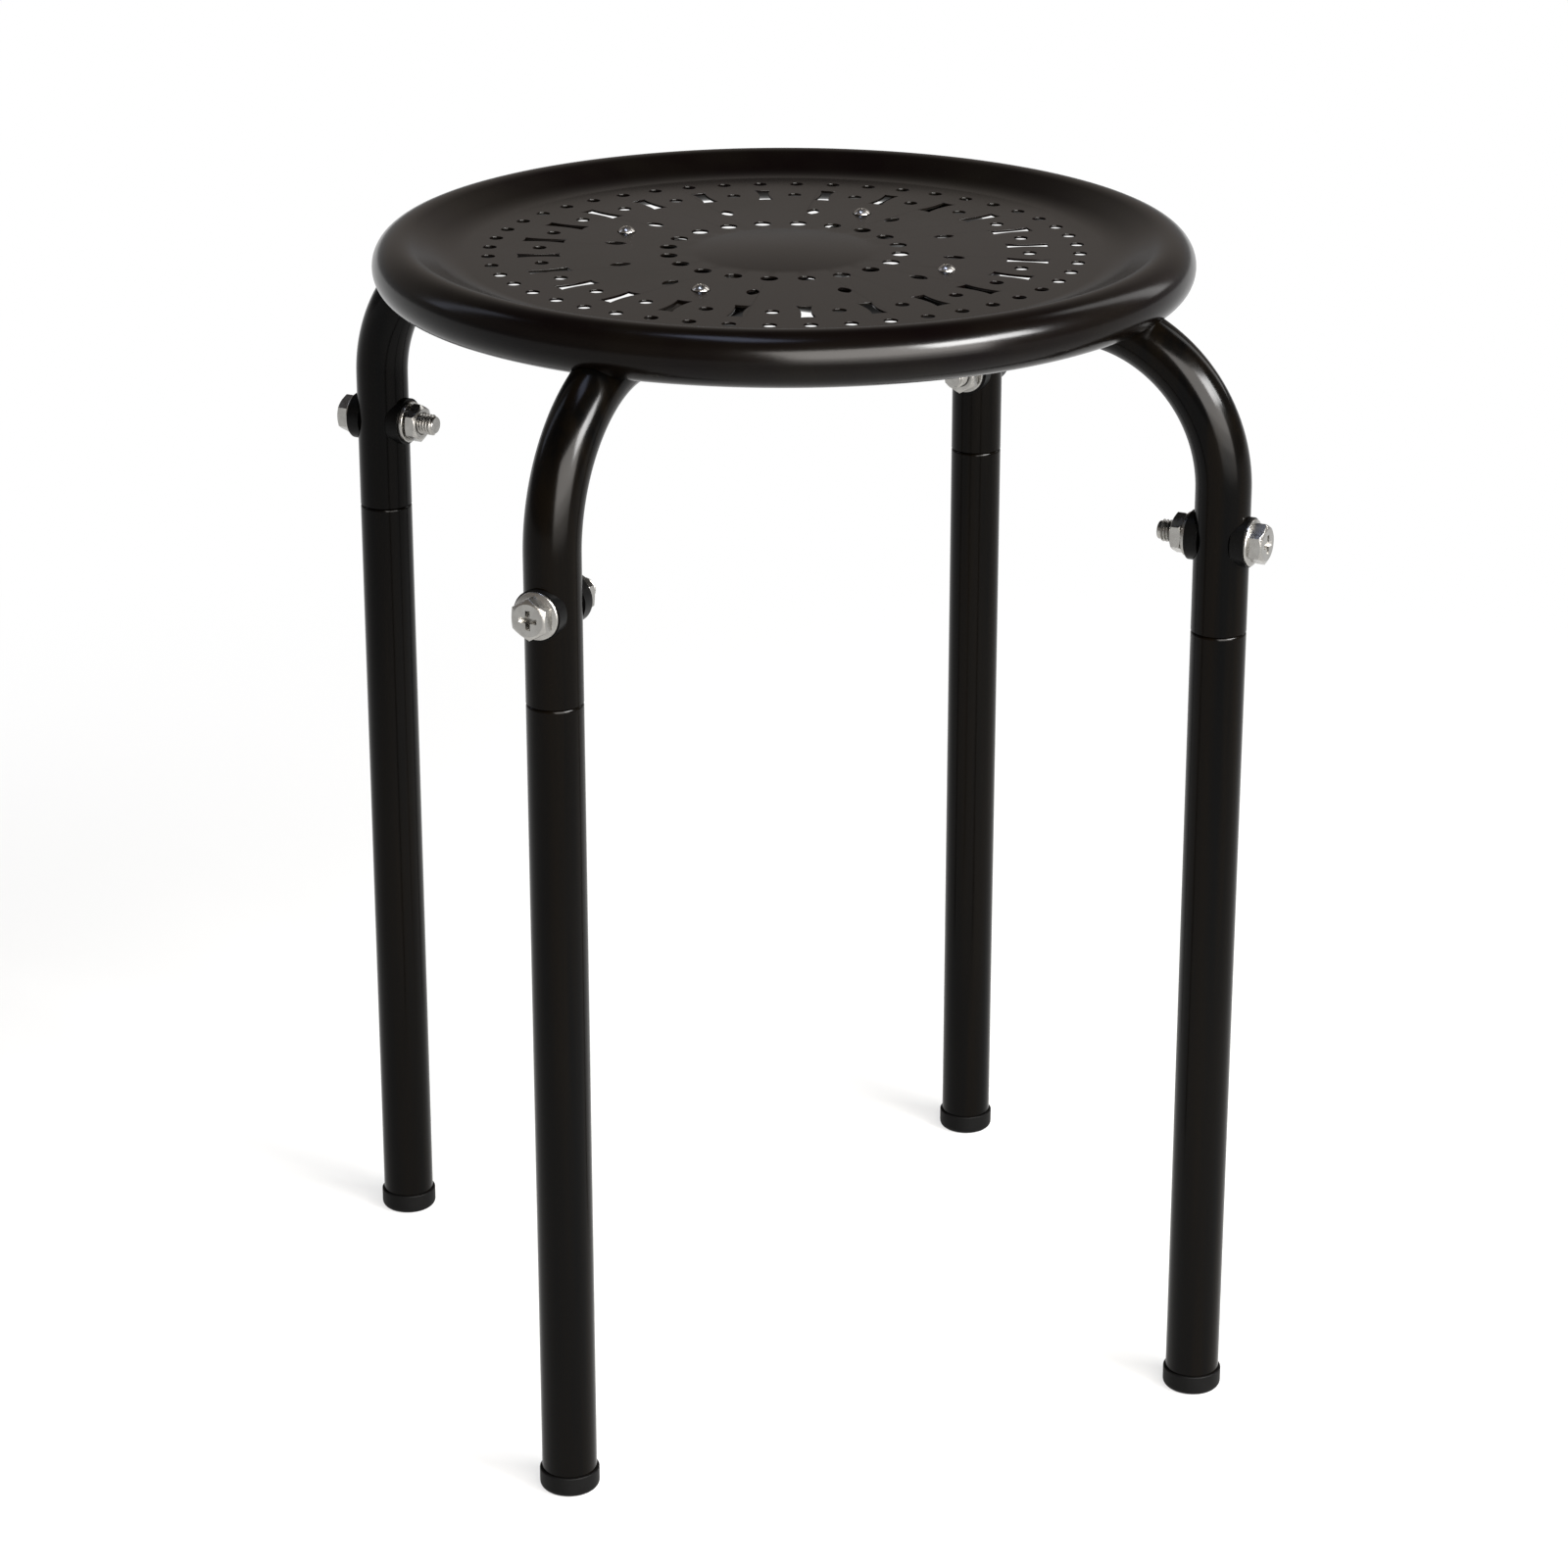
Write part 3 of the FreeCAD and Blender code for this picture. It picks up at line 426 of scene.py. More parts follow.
def soften_level(piece, height, width, limit, reach=math.inf, clamp=False):
    """Round the edges at one height that are sharper than a limit, within a reach of the axis."""
    begin_edit(piece)
    bpy.ops.mesh.select_mode(type="EDGE")
    bpy.ops.mesh.select_all(action="DESELECT")
    mesh = bmesh.from_edit_mesh(piece.data)
    for edge in mesh.edges:
        level = all(abs(vertex.co.z - height) < SAME_PLACE and vertex.co.xy.length < reach
                    for vertex in edge.verts)
        if level and len(edge.link_faces) == 2 and edge.calc_face_angle() > math.radians(limit):
            edge.select_set(True)
    bmesh.update_edit_mesh(piece.data)
    bpy.ops.mesh.bevel(offset=width, segments=2, clamp_overlap=clamp)
    bpy.ops.mesh.select_mode(type="VERT")
    end_edit()


def smooth(piece, limit):
    """Shade a piece smooth, with edges sharper than a limit in degrees left sharp."""
    only(piece)
    bpy.ops.object.shade_smooth_by_angle(angle=math.radians(limit))
    apply_modifier(piece, "WEIGHTED_NORMAL", keep_sharp=True)


def ring_of(piece, copies, first_turn=0.0):
    """Repeat all of a piece round the seat's centre, first turned by an angle."""
    piece.rotation_euler.z = first_turn
    settle(piece)
    begin_edit(piece)
    bpy.ops.mesh.spin(
        steps=copies - 1, dupli=True, angle=FULL_TURN * (copies - 1) / copies,
        center=(0, 0, 0), axis=(0, 0, 1),
    )
    end_edit()
    return piece


def copy_of(piece, name, turn):
    """Copy of a piece with its own mesh, turned round the seat's centre."""
    only(piece)
    bpy.ops.object.duplicate()
    copy = named(bpy.context.object, name)
    copy.rotation_euler.z = turn
    return settle(copy)


def lay_along_bolt(piece, inward=False):
    """Lay a piece that stands on its Z axis along the right leg's bolt."""
    sizes = bpy.context.scene.stool_tubes
    fixings = bpy.context.scene.stool_fixings
    piece.rotation_euler = (0, QUARTER_TURN, math.pi if inward else 0)
    piece.location = (sizes.leg_circle, 0, fixings.bolt_height)
    return settle(piece)


def finish_piece(piece, material, slot, *nodes):
    """Give a piece its material, hide the CAD parts it stands for and attach it to the body."""
    piece.data.materials.clear()
    piece.data.materials.append(bpy.data.materials[material])
    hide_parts(*nodes)
    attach(piece, BODY)


def finish_ring(piece, stem, material, slot, node_stem):
    """Give each leg its copy of a piece that was made for the right leg."""
    for side, turn in LEG_TURNS.items():
        if turn:
            copy = copy_of(piece, f"{stem}_{side}", turn)
            finish_piece(copy, material, slot, f"{node_stem}_{side}")
    finish_piece(named(piece, f"{stem}_right"), material, slot, f"{node_stem}_right")


def new_material(name):
    """Empty node tree of a new material."""
    material = bpy.data.materials.new(name)
    material.use_nodes = True
    material.node_tree.nodes.clear()
    return material.node_tree


def add_node(tree, kind, settings=None, inputs=None):
    """Add a node; inputs are values, or output sockets to link from."""
    node = tree.nodes.new(kind)
    for name, value in (settings or {}).items():
        setattr(node, name, value)
    for name, value in (inputs or {}).items():
        socket = node.inputs[name]
        if isinstance(value, bpy.types.NodeSocket):
            tree.links.new(value, socket)
        else:
            socket.default_value = value
    return node


def per_metre(millimetres):
    """Texture scale of a pattern whose cells are so many millimetres across."""
    return 1 / (millimetres * MM)


def coat_material(name, colours, roughness, gloss, peel_size, peel_height, patch_size, draw=1.0):
    """Sprayed and baked coat on steel: fine orange peel, faint patches of warmer colour and gloss.

    draw below 1 stretches the patches upright into streaks; on the tubes, their browner colour is
    painted reflection of the studio along them.
    """
    tree = new_material(name)
    place = add_node(tree, "ShaderNodeTexCoord").outputs["Object"]
    drawn = add_node(tree, "ShaderNodeMapping", inputs={"Vector": place, "Scale": (1.0, 1.0, draw)})
    patches = add_node(tree, "ShaderNodeTexNoise", inputs={
        "Vector": drawn.outputs["Vector"], "Scale": per_metre(patch_size), "Detail": 3.0,
        "Roughness": 0.55})
    blend = add_node(tree, "ShaderNodeMapRange", inputs={
        "Value": patches.outputs["Fac"], "From Min": 0.35, "From Max": 0.65})
    shade = add_node(tree, "ShaderNodeMix", {"data_type": "RGBA"}, {
        "Factor": blend.outputs["Result"], "A": colours[0], "B": colours[1]})
    gloss_change = add_node(tree, "ShaderNodeMapRange", inputs={
        "Value": patches.outputs["Fac"], "From Min": 0.3, "From Max": 0.7,
        "To Min": roughness[0], "To Max": roughness[1]})
    peel = add_node(tree, "ShaderNodeTexNoise", inputs={
        "Vector": place, "Scale": per_metre(peel_size), "Detail": 2.0, "Roughness": 0.5})
    relief = add_node(tree, "ShaderNodeBump", inputs={
        "Strength": 1.0, "Distance": peel_height * MM, "Height": peel.outputs["Fac"]})
    shader = add_node(tree, "ShaderNodeBsdfPrincipled", inputs={
        "Base Color": shade.outputs["Result"], "Roughness": gloss_change.outputs["Result"],
        "Specular IOR Level": gloss, "IOR": 1.5, "Normal": relief.outputs["Normal"]})
    add_node(tree, "ShaderNodeOutputMaterial", inputs={"Surface": shader.outputs["BSDF"]})


def plastic_material(name, colours, roughness, grain_size, grain_height, patch_size=9):
    """Moulded plastic: matt, with faint paler patches.

    The fine grain from its mould is drawn coarser than it is, so that it shows.
    """
    tree = new_material(name)
    place = add_node(tree, "ShaderNodeTexCoord").outputs["Object"]
    grain = add_node(tree, "ShaderNodeTexVoronoi", {"feature": "SMOOTH_F1"}, {
        "Vector": place, "Scale": per_metre(grain_size)})
    patches = add_node(tree, "ShaderNodeTexNoise", inputs={
        "Vector": place, "Scale": per_metre(patch_size), "Detail": 3.0})
    shade = add_node(tree, "ShaderNodeMix", {"data_type": "RGBA"}, {
        "Factor": patches.outputs["Fac"], "A": colours[0], "B": colours[1]})
    relief = add_node(tree, "ShaderNodeBump", inputs={
        "Strength": 1.0, "Distance": grain_height * MM, "Height": grain.outputs["Distance"]})
    gloss_change = add_node(tree, "ShaderNodeMapRange", inputs={
        "Value": patches.outputs["Fac"], "To Min": roughness[0], "To Max": roughness[1]})
    shader = add_node(tree, "ShaderNodeBsdfPrincipled", inputs={
        "Base Color": shade.outputs["Result"], "Roughness": gloss_change.outputs["Result"],
        "Specular IOR Level": 0.09, "IOR": 1.46, "Normal": relief.outputs["Normal"]})
    add_node(tree, "ShaderNodeOutputMaterial", inputs={"Surface": shader.outputs["BSDF"]})


def plated_material(name, colours, roughness, grain_size, patch_size=3.5):
    """Bright plating on steel, with duller patches.

    Its grain is far too fine to show, and is drawn as coarse as it needs to be.
    """
    tree = new_material(name)
    place = add_node(tree, "ShaderNodeTexCoord").outputs["Object"]
    patches = add_node(tree, "ShaderNodeTexNoise", inputs={
        "Vector": place, "Scale": per_metre(patch_size), "Detail": 4.0})
    shade = add_node(tree, "ShaderNodeMix", {"data_type": "RGBA"}, {
        "Factor": patches.outputs["Fac"], "A": colours[0], "B": colours[1]})
    gloss_change = add_node(tree, "ShaderNodeMapRange", inputs={
        "Value": patches.outputs["Fac"], "From Min": 0.3, "From Max": 0.7,
        "To Min": roughness[0], "To Max": roughness[1]})
    grain = add_node(tree, "ShaderNodeTexNoise", inputs={
        "Vector": place, "Scale": per_metre(grain_size), "Detail": 1.0})
    relief = add_node(tree, "ShaderNodeBump", inputs={
        "Strength": 1.0, "Distance": 0.004 * MM, "Height": grain.outputs["Fac"]})
    shader = add_node(tree, "ShaderNodeBsdfPrincipled", inputs={
        "Base Color": shade.outputs["Result"], "Metallic": 1.0,
        "Roughness": gloss_change.outputs["Result"], "Normal": relief.outputs["Normal"]})
    add_node(tree, "ShaderNodeOutputMaterial", inputs={"Surface": shader.outputs["BSDF"]})


class STOOL_OT_finishes(bpy.types.Operator):
    """Make the materials of the stool"""

    bl_idname = "stool.finishes"
    bl_label = "Finishes"

    def execute(self, context):
        shades = context.scene.stool_finishes
        # Stoved enamel on the tubes: nearly black, and smooth enough to mirror the studio as long
        # streaks. Its specular level is low, for the deep blacks between them. The upright browner
        # streaks in its base colour are painted reflections.
        coat_material("stoved black enamel", (shades.coat, shades.coat_painted_reflection), (0.15, 0.2),
                      gloss=0.072, peel_size=2.4, peel_height=0.006, patch_size=7, draw=0.03)
        # Powder coat on the seat: rougher, so the flat turns grey where light grazes it.
        coat_material("black powder coat", (shades.seat, shades.seat_warm), (0.17, 0.22),
                      gloss=0.11, peel_size=1.3, peel_height=0.008, patch_size=45)
        # Moulded polyethylene of the feet: dull, with the mould's fine grain.
        plastic_material("moulded polyethylene", (shades.foot, shades.foot_pale), (0.49, 0.61),
                         grain_size=0.5, grain_height=0.02)
        # Moulded nylon of the saddle washers: smoother than the feet.
        plastic_material("moulded nylon", (shades.saddle, shades.saddle_pale), (0.32, 0.44),
                         grain_size=0.4, grain_height=0.008)
        # Zinc plated steel of bolts, nuts, washers and inserts: bright and slightly cloudy.
        plated_material("zinc plated steel", (shades.zinc, shades.zinc_dull), (0.22, 0.34),
                        grain_size=0.3)
        # Nickel plated steel of the seat screws: a little smoother and brighter than the zinc.
        plated_material("nickel plated steel", (shades.nickel, shades.nickel_dull), (0.2, 0.32),
                        grain_size=0.25)
        return {"FINISHED"}


class STOOL_OT_seat(bpy.types.Operator):
    """Press, roll and perforate the round seat"""

    bl_idname = "stool.seat"
    bl_label = "Seat"

    def execute(self, context):
        sizes = context.scene.stool_seat
        piece = lathe("seat", self.profile(sizes), SEAT_FACES)
        self.perforate(piece, sizes)
        combine(piece, self.notches())
        soften_level(piece, flat_height(), sizes.punch_round, limit=45)
        mend(piece)
        smooth(piece, limit=40)
        finish_piece(piece, "black powder coat", "seat_coat", "seat_pan")
        return {"FINISHED"}

    def profile(self, sizes):
        """Section of the pan from the axis over its top, round the bead and back under it."""
        slope, sheet, bead = sizes.slope, sizes.sheet, sizes.bead
        bead_centre = (sizes.radius - bead, sizes.top - bead)
        flat = flat_height()
        up = QUARTER_TURN
        slope_top = (bead_centre[0] - bead * math.sin(slope),
                     bead_centre[1] + bead * math.cos(slope))
        fillet_rise = sizes.fillet * (1 - math.cos(slope))
        fillet_end = slope_top[0] - (slope_top[1] - flat - fillet_rise) / math.tan(slope)
        flat_end = fillet_end - sizes.fillet * math.sin(slope)
        fillet_centre = (flat_end, flat + sizes.fillet)
        sphere = (sizes.dome_radius ** 2 + sizes.dome_rise ** 2) / (2 * sizes.dome_rise)
        dome_centre = (0, flat + sizes.dome_rise - sphere)
        dome_turn = math.asin(sizes.dome_radius / sphere)
        under_turn = math.acos((flat - sheet - dome_centre[1]) / (sphere - sheet))
        top = arc(dome_centre, sphere, up, up - dome_turn, 10)
        top += arc(fillet_centre, sizes.fillet, -up, -up + slope, 10)
        top += arc(bead_centre, bead, up + slope, -sizes.curl, 40)
        under = arc(bead_centre, bead - sheet, -sizes.curl, up + slope, 32)
        under += arc(fillet_centre, sizes.fillet + sheet, -up + slope, -up, 8)
        under += arc(dome_centre, sphere - sheet, up - under_turn, up, 8)
        return top + under

    def perforate(self, piece, sizes):
        """Punch the five rings of openings and countersink the screw holes."""
        low = flat_height() - 4 * sizes.sheet
        high = flat_height() + 4 * sizes.sheet
        turn = sizes.pattern_turn
        half_slot_turn = math.pi / sizes.slot_count
        half_leaf_turn = math.pi / sizes.leaf_count
        small = sizes.small_hole
        outer = rod("outer_punch", small, low, high, sizes.outer_ring, SMALL_HOLE_FACES)
        slot = plate("slot_punch", self.slot_outline(sizes), low, high)
        between = rod("between_punch", small, low, high, sizes.slot_ring, SMALL_HOLE_FACES)
        leaf = plate("leaf_punch", self.leaf_outline(sizes), low, high)
        inner = rod("inner_punch", sizes.inner_hole, low, high, sizes.inner_ring)
        combine(piece, join([
            ring_of(outer, sizes.outer_count, turn),
            ring_of(slot, sizes.slot_count, turn),
            ring_of(between, sizes.slot_count, turn + half_slot_turn),
            ring_of(leaf, sizes.leaf_count, turn + half_leaf_turn),
            ring_of(inner, sizes.inner_count, turn),
            self.countersinks(sizes),
        ]))

    def countersinks(self, sizes):
        """Cutters for the four countersunk screw holes."""
        fixings = bpy.context.scene.stool_fixings
        flat = flat_height()
        head = fixings.screw_head + fixings.screw_gap
        shank = fixings.screw_radius + fixings.screw_gap
        reach = 2 * sizes.sheet
        profile = [(0, flat + reach), (head, flat + reach), (head, flat),
                   (shank, flat - sizes.sheet), (shank, flat - reach), (0, flat - reach)]
        cutter = lathe("countersink_cutter", profile, HOLE_FACES, fixings.screw_circle)
        return ring_of(cutter, len(LEG_TURNS))

    def slot_outline(self, sizes):
        """Radial slot with hollow sides and ends."""
        middle, half = sizes.slot_ring, sizes.slot_length / 2
        wide, waist = sizes.slot_end / 2, sizes.slot_waist / 2
        steps = 12
        shares = [-1 + 2 * step / steps for step in range(steps + 1)]
        side = [(middle + half * along, -(waist + (wide - waist) * along ** 2)) for along in shares]
        end = [(middle + half - sizes.slot_dip * (1 - across ** 2), wide * across)
               for across in (-0.5, 0, 0.5)]
        return side + end + [(2 * middle - x, -y) for x, y in side + end]

    def leaf_outline(self, sizes):
        """Radial leaf, pointed at both ends."""
        half = sizes.leaf_length / 2
        wide = sizes.leaf_width / 2
        radius = (half ** 2 + wide ** 2) / (2 * wide)
        turn = math.asin(half / radius)
        down = -QUARTER_TURN
        side = arc((sizes.leaf_ring, radius - wide), radius, down - turn, down + turn, 12)
        return side + [(2 * sizes.leaf_ring - x, -y) for x, y in side[1:-1]]

    def notches(self):
        """Cutters along the bends, where they pass through the bead."""
        tubes = bpy.context.scene.stool_tubes
        axis_height = cross_tube_height()
        bend = (tubes.leg_circle - tubes.bend, 0, axis_height - tubes.bend)
        past_bead = math.radians(80)
        bpy.ops.object.select_all(action="DESELECT")
        bpy.ops.mesh.primitive_circle_add(
            vertices=ROUND_FACES, radius=tubes.radius + tubes.notch_gap, fill_type="NGON",
            location=(bend[0], 0, axis_height), rotation=(0, QUARTER_TURN, 0))
        cutter = settle(named(bpy.context.object, "notch_cutter"))
        begin_edit(cutter)
        bpy.ops.mesh.spin(steps=28, angle=-past_bead, center=bend, axis=(0, 1, 0))
        end_edit()
        return ring_of(close_up(cutter), len(LEG_TURNS))


class STOOL_OT_cross_tubes(bpy.types.Operator):
    """Bend the two cross tubes and press them flat where they meet"""

    bl_idname = "stool.cross_tubes"
    bl_label = "Cross tubes"

    def execute(self, context):
        sizes = context.scene.stool_tubes
        axis_height = cross_tube_height()
        underside = flat_height() - context.scene.stool_seat.sheet
        half_height = sizes.radius / 2 - sizes.crimp_gap / 4
        levels = {
            "upper": (underside - half_height, QUARTER_TURN),
            "lower": (axis_height - sizes.crimp_gap / 2 - half_height, 0),
        }
        for level, (crimp_height, turn) in levels.items():
            piece = self.half_tube(f"seat_tube_{level}", sizes, crimp_height, half_height)
            apply_modifier(piece, "MIRROR", use_axis=(True, False, False),
                           merge_threshold=MERGE_DISTANCE)
            close_up(piece)
            apply_modifier(piece, "SOLIDIFY", thickness=sizes.wall, offset=-1, use_even_offset=True)
            close_up(piece, outward=False)
            self.drill(piece, sizes)
            mend(piece)
            piece.rotation_euler.z = turn
            settle(piece)
            smooth(piece, limit=40)
            finish_piece(piece, "stoved black enamel", "tube_coat", f"cross_tube_{level}")
        return {"FINISHED"}

    def half_tube(self, name, sizes, crimp_height, half_height):
        """One half as an open skin: pressed middle, taper, bend and arm."""
        axis_height = cross_tube_height()
        crimp_end = sizes.crimp_half + sizes.crimp_taper
        bend_start = sizes.leg_circle - sizes.bend
        bend_centre = (bend_start, 0, axis_height - sizes.bend)
        bpy.ops.object.select_all(action="DESELECT")
        bpy.ops.mesh.primitive_circle_add(
            vertices=ROUND_FACES, radius=sizes.radius, location=(0, 0, axis_height),
            rotation=(0, QUARTER_TURN, 0))
        piece = settle(named(bpy.context.object, name))
        begin_edit(piece)
        taper_steps = 16
        stations = [sizes.crimp_half + sizes.crimp_taper * step / taper_steps
                    for step in range(taper_steps + 1)]
        reached = 0
        for station in [*stations, bend_start]:
            extrude((station - reached, 0, 0))
            reached = station
        bpy.ops.mesh.spin(steps=36, angle=-QUARTER_TURN, center=bend_centre, axis=(0, 1, 0))
        extrude((0, 0, sizes.seam - bend_centre[2]))
        mesh = bmesh.from_edit_mesh(piece.data)
        crimp_rates = (sizes.crimp_width / 2 / sizes.radius, half_height / sizes.radius)
        for station in [0, *stations[:-1]]:
            share = min((crimp_end - station) / sizes.crimp_taper, 1)
            share = share * share * (3 - 2 * share)
            pick(mesh, lambda place: abs(place.x - station) < SAME_PLACE)
            widths = [1 + (rate - 1) * share for rate in crimp_rates]
            bpy.ops.transform.resize(value=(1, *widths), center_override=(station, 0, axis_height))
            sink = (crimp_height - axis_height) * share
            bpy.ops.transform.translate(value=(0, 0, sink))
        end_edit()
        return piece

    def drill(self, piece, sizes):
        """Drill the bolt holes and the holes of the rivet nuts."""
        fixings = bpy.context.scene.stool_fixings
        reach = sizes.leg_circle + 2 * sizes.radius
        combine(piece, bolt_drill(-reach, reach))
        low = cross_tube_height()
        high = low + sizes.radius + sizes.wall
        combine(piece, join([
            rod("insert_drill", fixings.insert_hole, low, high, side * fixings.screw_circle)
            for side in (1, -1)]))


class STOOL_OT_legs(bpy.types.Operator):
    """Form the four tube legs with their swaged necks"""

    bl_idname = "stool.legs"
    bl_label = "Legs"

    def execute(self, context):
        sizes = context.scene.stool_tubes
        radius, wall, seam = sizes.radius, sizes.wall, sizes.seam
        bore = radius - wall
        neck = bore - sizes.neck_gap
        neck_bore = neck - wall
        shoulder = radius - neck
        profile = [(radius, sizes.foot_height)]
        profile += arc((radius - shoulder, seam - shoulder), shoulder, 0, QUARTER_TURN, 8)
        profile += [(neck, sizes.neck_top), (neck_bore, sizes.neck_top),
                    (neck_bore, seam - wall), (bore, seam - wall - (bore - neck_bore)),
                    (bore, sizes.foot_height), (radius, sizes.foot_height)]
        piece = lathe("leg_tube", profile, ROUND_FACES, sizes.leg_circle)
        combine(piece, bolt_drill(0, 2 * sizes.leg_circle))
        mend(piece)
        smooth(piece, limit=40)
        finish_ring(piece, "leg_tube", "stoved black enamel", "tube_coat", "leg")
        return {"FINISHED"}


class STOOL_OT_feet(bpy.types.Operator):
    """Mould the four feet"""

    bl_idname = "stool.feet"
    bl_label = "Feet"

    def execute(self, context):
        sizes = context.scene.stool_tubes
        outside, height = sizes.radius + sizes.foot_step, sizes.foot_height
        rounding = sizes.foot_round
        hollow, hollow_depth = 4.5 * MM, 0.8 * MM
        lip = 0.35 * MM
        stem_gap = 0.1 * MM
        stem_chamfer = 1.5 * MM
        stem = sizes.radius - sizes.wall - stem_gap
        top = height + sizes.stem
        profile = [(0, hollow_depth), (hollow - lip, hollow_depth),
                   (hollow, hollow_depth - lip), (hollow, 0)]
        profile += arc((outside - rounding, rounding), rounding, -QUARTER_TURN, 0, 8)
        profile += arc((outside - lip, height - lip), lip, 0, QUARTER_TURN, 4)
        profile += [(stem, height), (stem, top - stem_chamfer), (stem - stem_chamfer, top),
                    (0, top)]
        piece = lathe("foot", profile, ROUND_FACES, sizes.leg_circle)
        smooth(piece, limit=40)
        finish_ring(piece, "foot", "moulded polyethylene", "foot_plastic", "foot_plug")
        return {"FINISHED"}


def hex_body(name, low, high, fixings, both_ends=False):
    """Hexagon whose corners are turned down to a circle on its top, or on both ends."""
    corner = fixings.hexagon / math.sqrt(3)
    chamfer = math.radians(30)
    spare = 1 * MM
    start = low - spare if both_ends else low
    end = high + spare
    bpy.ops.object.select_all(action="DESELECT")
    bpy.ops.mesh.primitive_cylinder_add(
        vertices=6, radius=corner, depth=end - start, location=(0, 0, (start + end) / 2),
        rotation=(0, 0, QUARTER_TURN))
    piece = settle(named(bpy.context.object, name))
    outside = corner + fixings.hexagon / 10
    drop = (outside - fixings.hex_chamfer) * math.tan(chamfer)
    profile = [(0, high), (fixings.hex_chamfer, high), (outside, high - drop)]
    if both_ends:
        profile += [(outside, low + drop), (fixings.hex_chamfer, low), (0, low)]
    else:
        profile += [(outside, low - drop), (0, low - drop)]
    combine(piece, lathe("hex_turning", profile, FINE_FACES), "INTERSECT")
    return piece


def cross_cutter(span, width, top, depth):
    """Cutter for a cross recess: two crossed wings that narrow towards their bottom."""
    middle = top - depth / 2
    narrowing = (0.45, 0.7, 1)
    spare = depth * 0.2
    wings = []
    for turn in (0, QUARTER_TURN):
        bpy.ops.object.select_all(action="DESELECT")
        bpy.ops.mesh.primitive_cube_add(size=1, location=(0, 0, middle))
        wing = named(bpy.context.object, "recess_wing")
        wing.scale = (span, width, depth)
        settle(wing)
        mesh = begin_edit(wing)
        pick(mesh, lambda place: place.z < middle)
        bpy.ops.transform.resize(value=narrowing, center_override=(0, 0, top - depth))
        pick(mesh, lambda place: place.z > middle)
        bpy.ops.transform.translate(value=(0, 0, spare))
        end_edit()
        wing.rotation_euler.z = turn
        wings.append(settle(wing))
    return combine(wings[0], wings[1], "UNION")


class STOOL_OT_bolts(bpy.types.Operator):
    """Make the four flanged leg bolts"""

    bl_idname = "stool.bolts"
    bl_label = "Leg bolts"

    def execute(self, context):
        sizes = context.scene.stool_fixings
        back = saddle_back()
        flange_top = back + sizes.flange
        top = flange_top + sizes.head
        tip = back - sizes.bolt_length
        shank = sizes.bolt_radius
        core = shank - sizes.thread_depth
        thread_end = tip + sizes.thread
        tip_inset, tip_rise = 0.2 * MM, 0.3 * MM
        chamfer, rounding = 0.15 * MM, 0.5 * MM
        flange = sizes.flange_radius
        cone_foot = sizes.hexagon / 2 + 0.4 * MM
        profile = [(0, tip), (core - tip_inset, tip), (core, tip + tip_rise), (core, thread_end),
                   (shank, thread_end + sizes.thread_depth), (shank, back),
                   (flange - chamfer, back), (flange, back + chamfer)]
        profile += arc((flange - rounding, back + rounding), rounding, 0, QUARTER_TURN * 0.75, 4)
        profile += [(cone_foot, flange_top), (0, flange_top)]
        piece = lathe("bolt", profile, ROUND_FACES)
        overlap = 0.3 * MM
        head = hex_body("bolt_head", flange_top - overlap, top, sizes)
        soften(head, 0.14 * MM, steps=2, limit=25)
        combine(head, cross_cutter(sizes.recess, sizes.recess_width, top, sizes.recess_depth))
        combine(piece, head, "UNION")
        close_up(piece)
        past_recess = sizes.recess / 2 + 0.8 * MM
        soften_level(piece, top, 0.12 * MM, limit=30, reach=past_recess, clamp=True)
        piece = join([piece, self.thread(sizes, tip + tip_rise, core)])
        lay_along_bolt(piece)
        smooth(piece, limit=32)
        finish_ring(piece, "bolt", "zinc plated steel", "bolt_zinc", "leg_bolt")
        return {"FINISHED"}

    def thread(self, sizes, low, core):
        """Helical ridge of the thread, sunk a little into the core."""
        pitch = sizes.thread_pitch
        sunk = 0.1 * MM
        crest, root = sizes.bolt_radius, core - sunk
        crest_start, crest_end, root_end = 0.42 * pitch, 0.52 * pitch, 0.94 * pitch
        points = [(root, 0, low), (crest, 0, low + crest_start),
                  (crest, 0, low + crest_end), (root, 0, low + root_end)]
        ridge = trace("thread", points)
        bpy.ops.mesh.select_all(action="SELECT")
        bpy.ops.mesh.edge_face_add()
        end_edit()
        turns = int(sizes.thread / pitch) - 1
        apply_modifier(ridge, "SCREW", angle=FULL_TURN, screw_offset=pitch, iterations=turns,
                       steps=SCREW_FACES, render_steps=SCREW_FACES, axis="Z")
        return mend(close_up(ridge))


class STOOL_OT_saddles(bpy.types.Operator):
    """Mould the saddle washers inside and outside each arm"""

    bl_idname = "stool.saddles"
    bl_label = "Saddle washers"

    def execute(self, context):
        sizes = context.scene.stool_fixings
        tube = context.scene.stool_tubes.radius
        back = saddle_back()
        front = back - sizes.saddle_depth
        tube_gap = 0.1 * MM
        hole = sizes.bolt_radius + sizes.bolt_gap
        for place, inward in (("outer", False), ("inner", True)):
            profile = [(hole, front), (sizes.saddle_radius, front), (sizes.saddle_radius, back),
                       (hole, back), (hole, front)]
            piece = lathe("saddle", profile, ROUND_FACES)
            hollow = rod("tube_hollow", tube + tube_gap, -2 * tube, 2 * tube, steps=FINE_FACES)
            hollow.rotation_euler.y = QUARTER_TURN
            combine(piece, settle(hollow))
            close_up(piece)
            soften(piece, 0.3 * MM, steps=3, limit=40)
            lay_along_bolt(piece, inward)
            smooth(piece, limit=35)
            finish_ring(piece, f"saddle_washer_{place}", "moulded nylon", "saddle_plastic",
                        f"saddle_{place}")
        return {"FINISHED"}


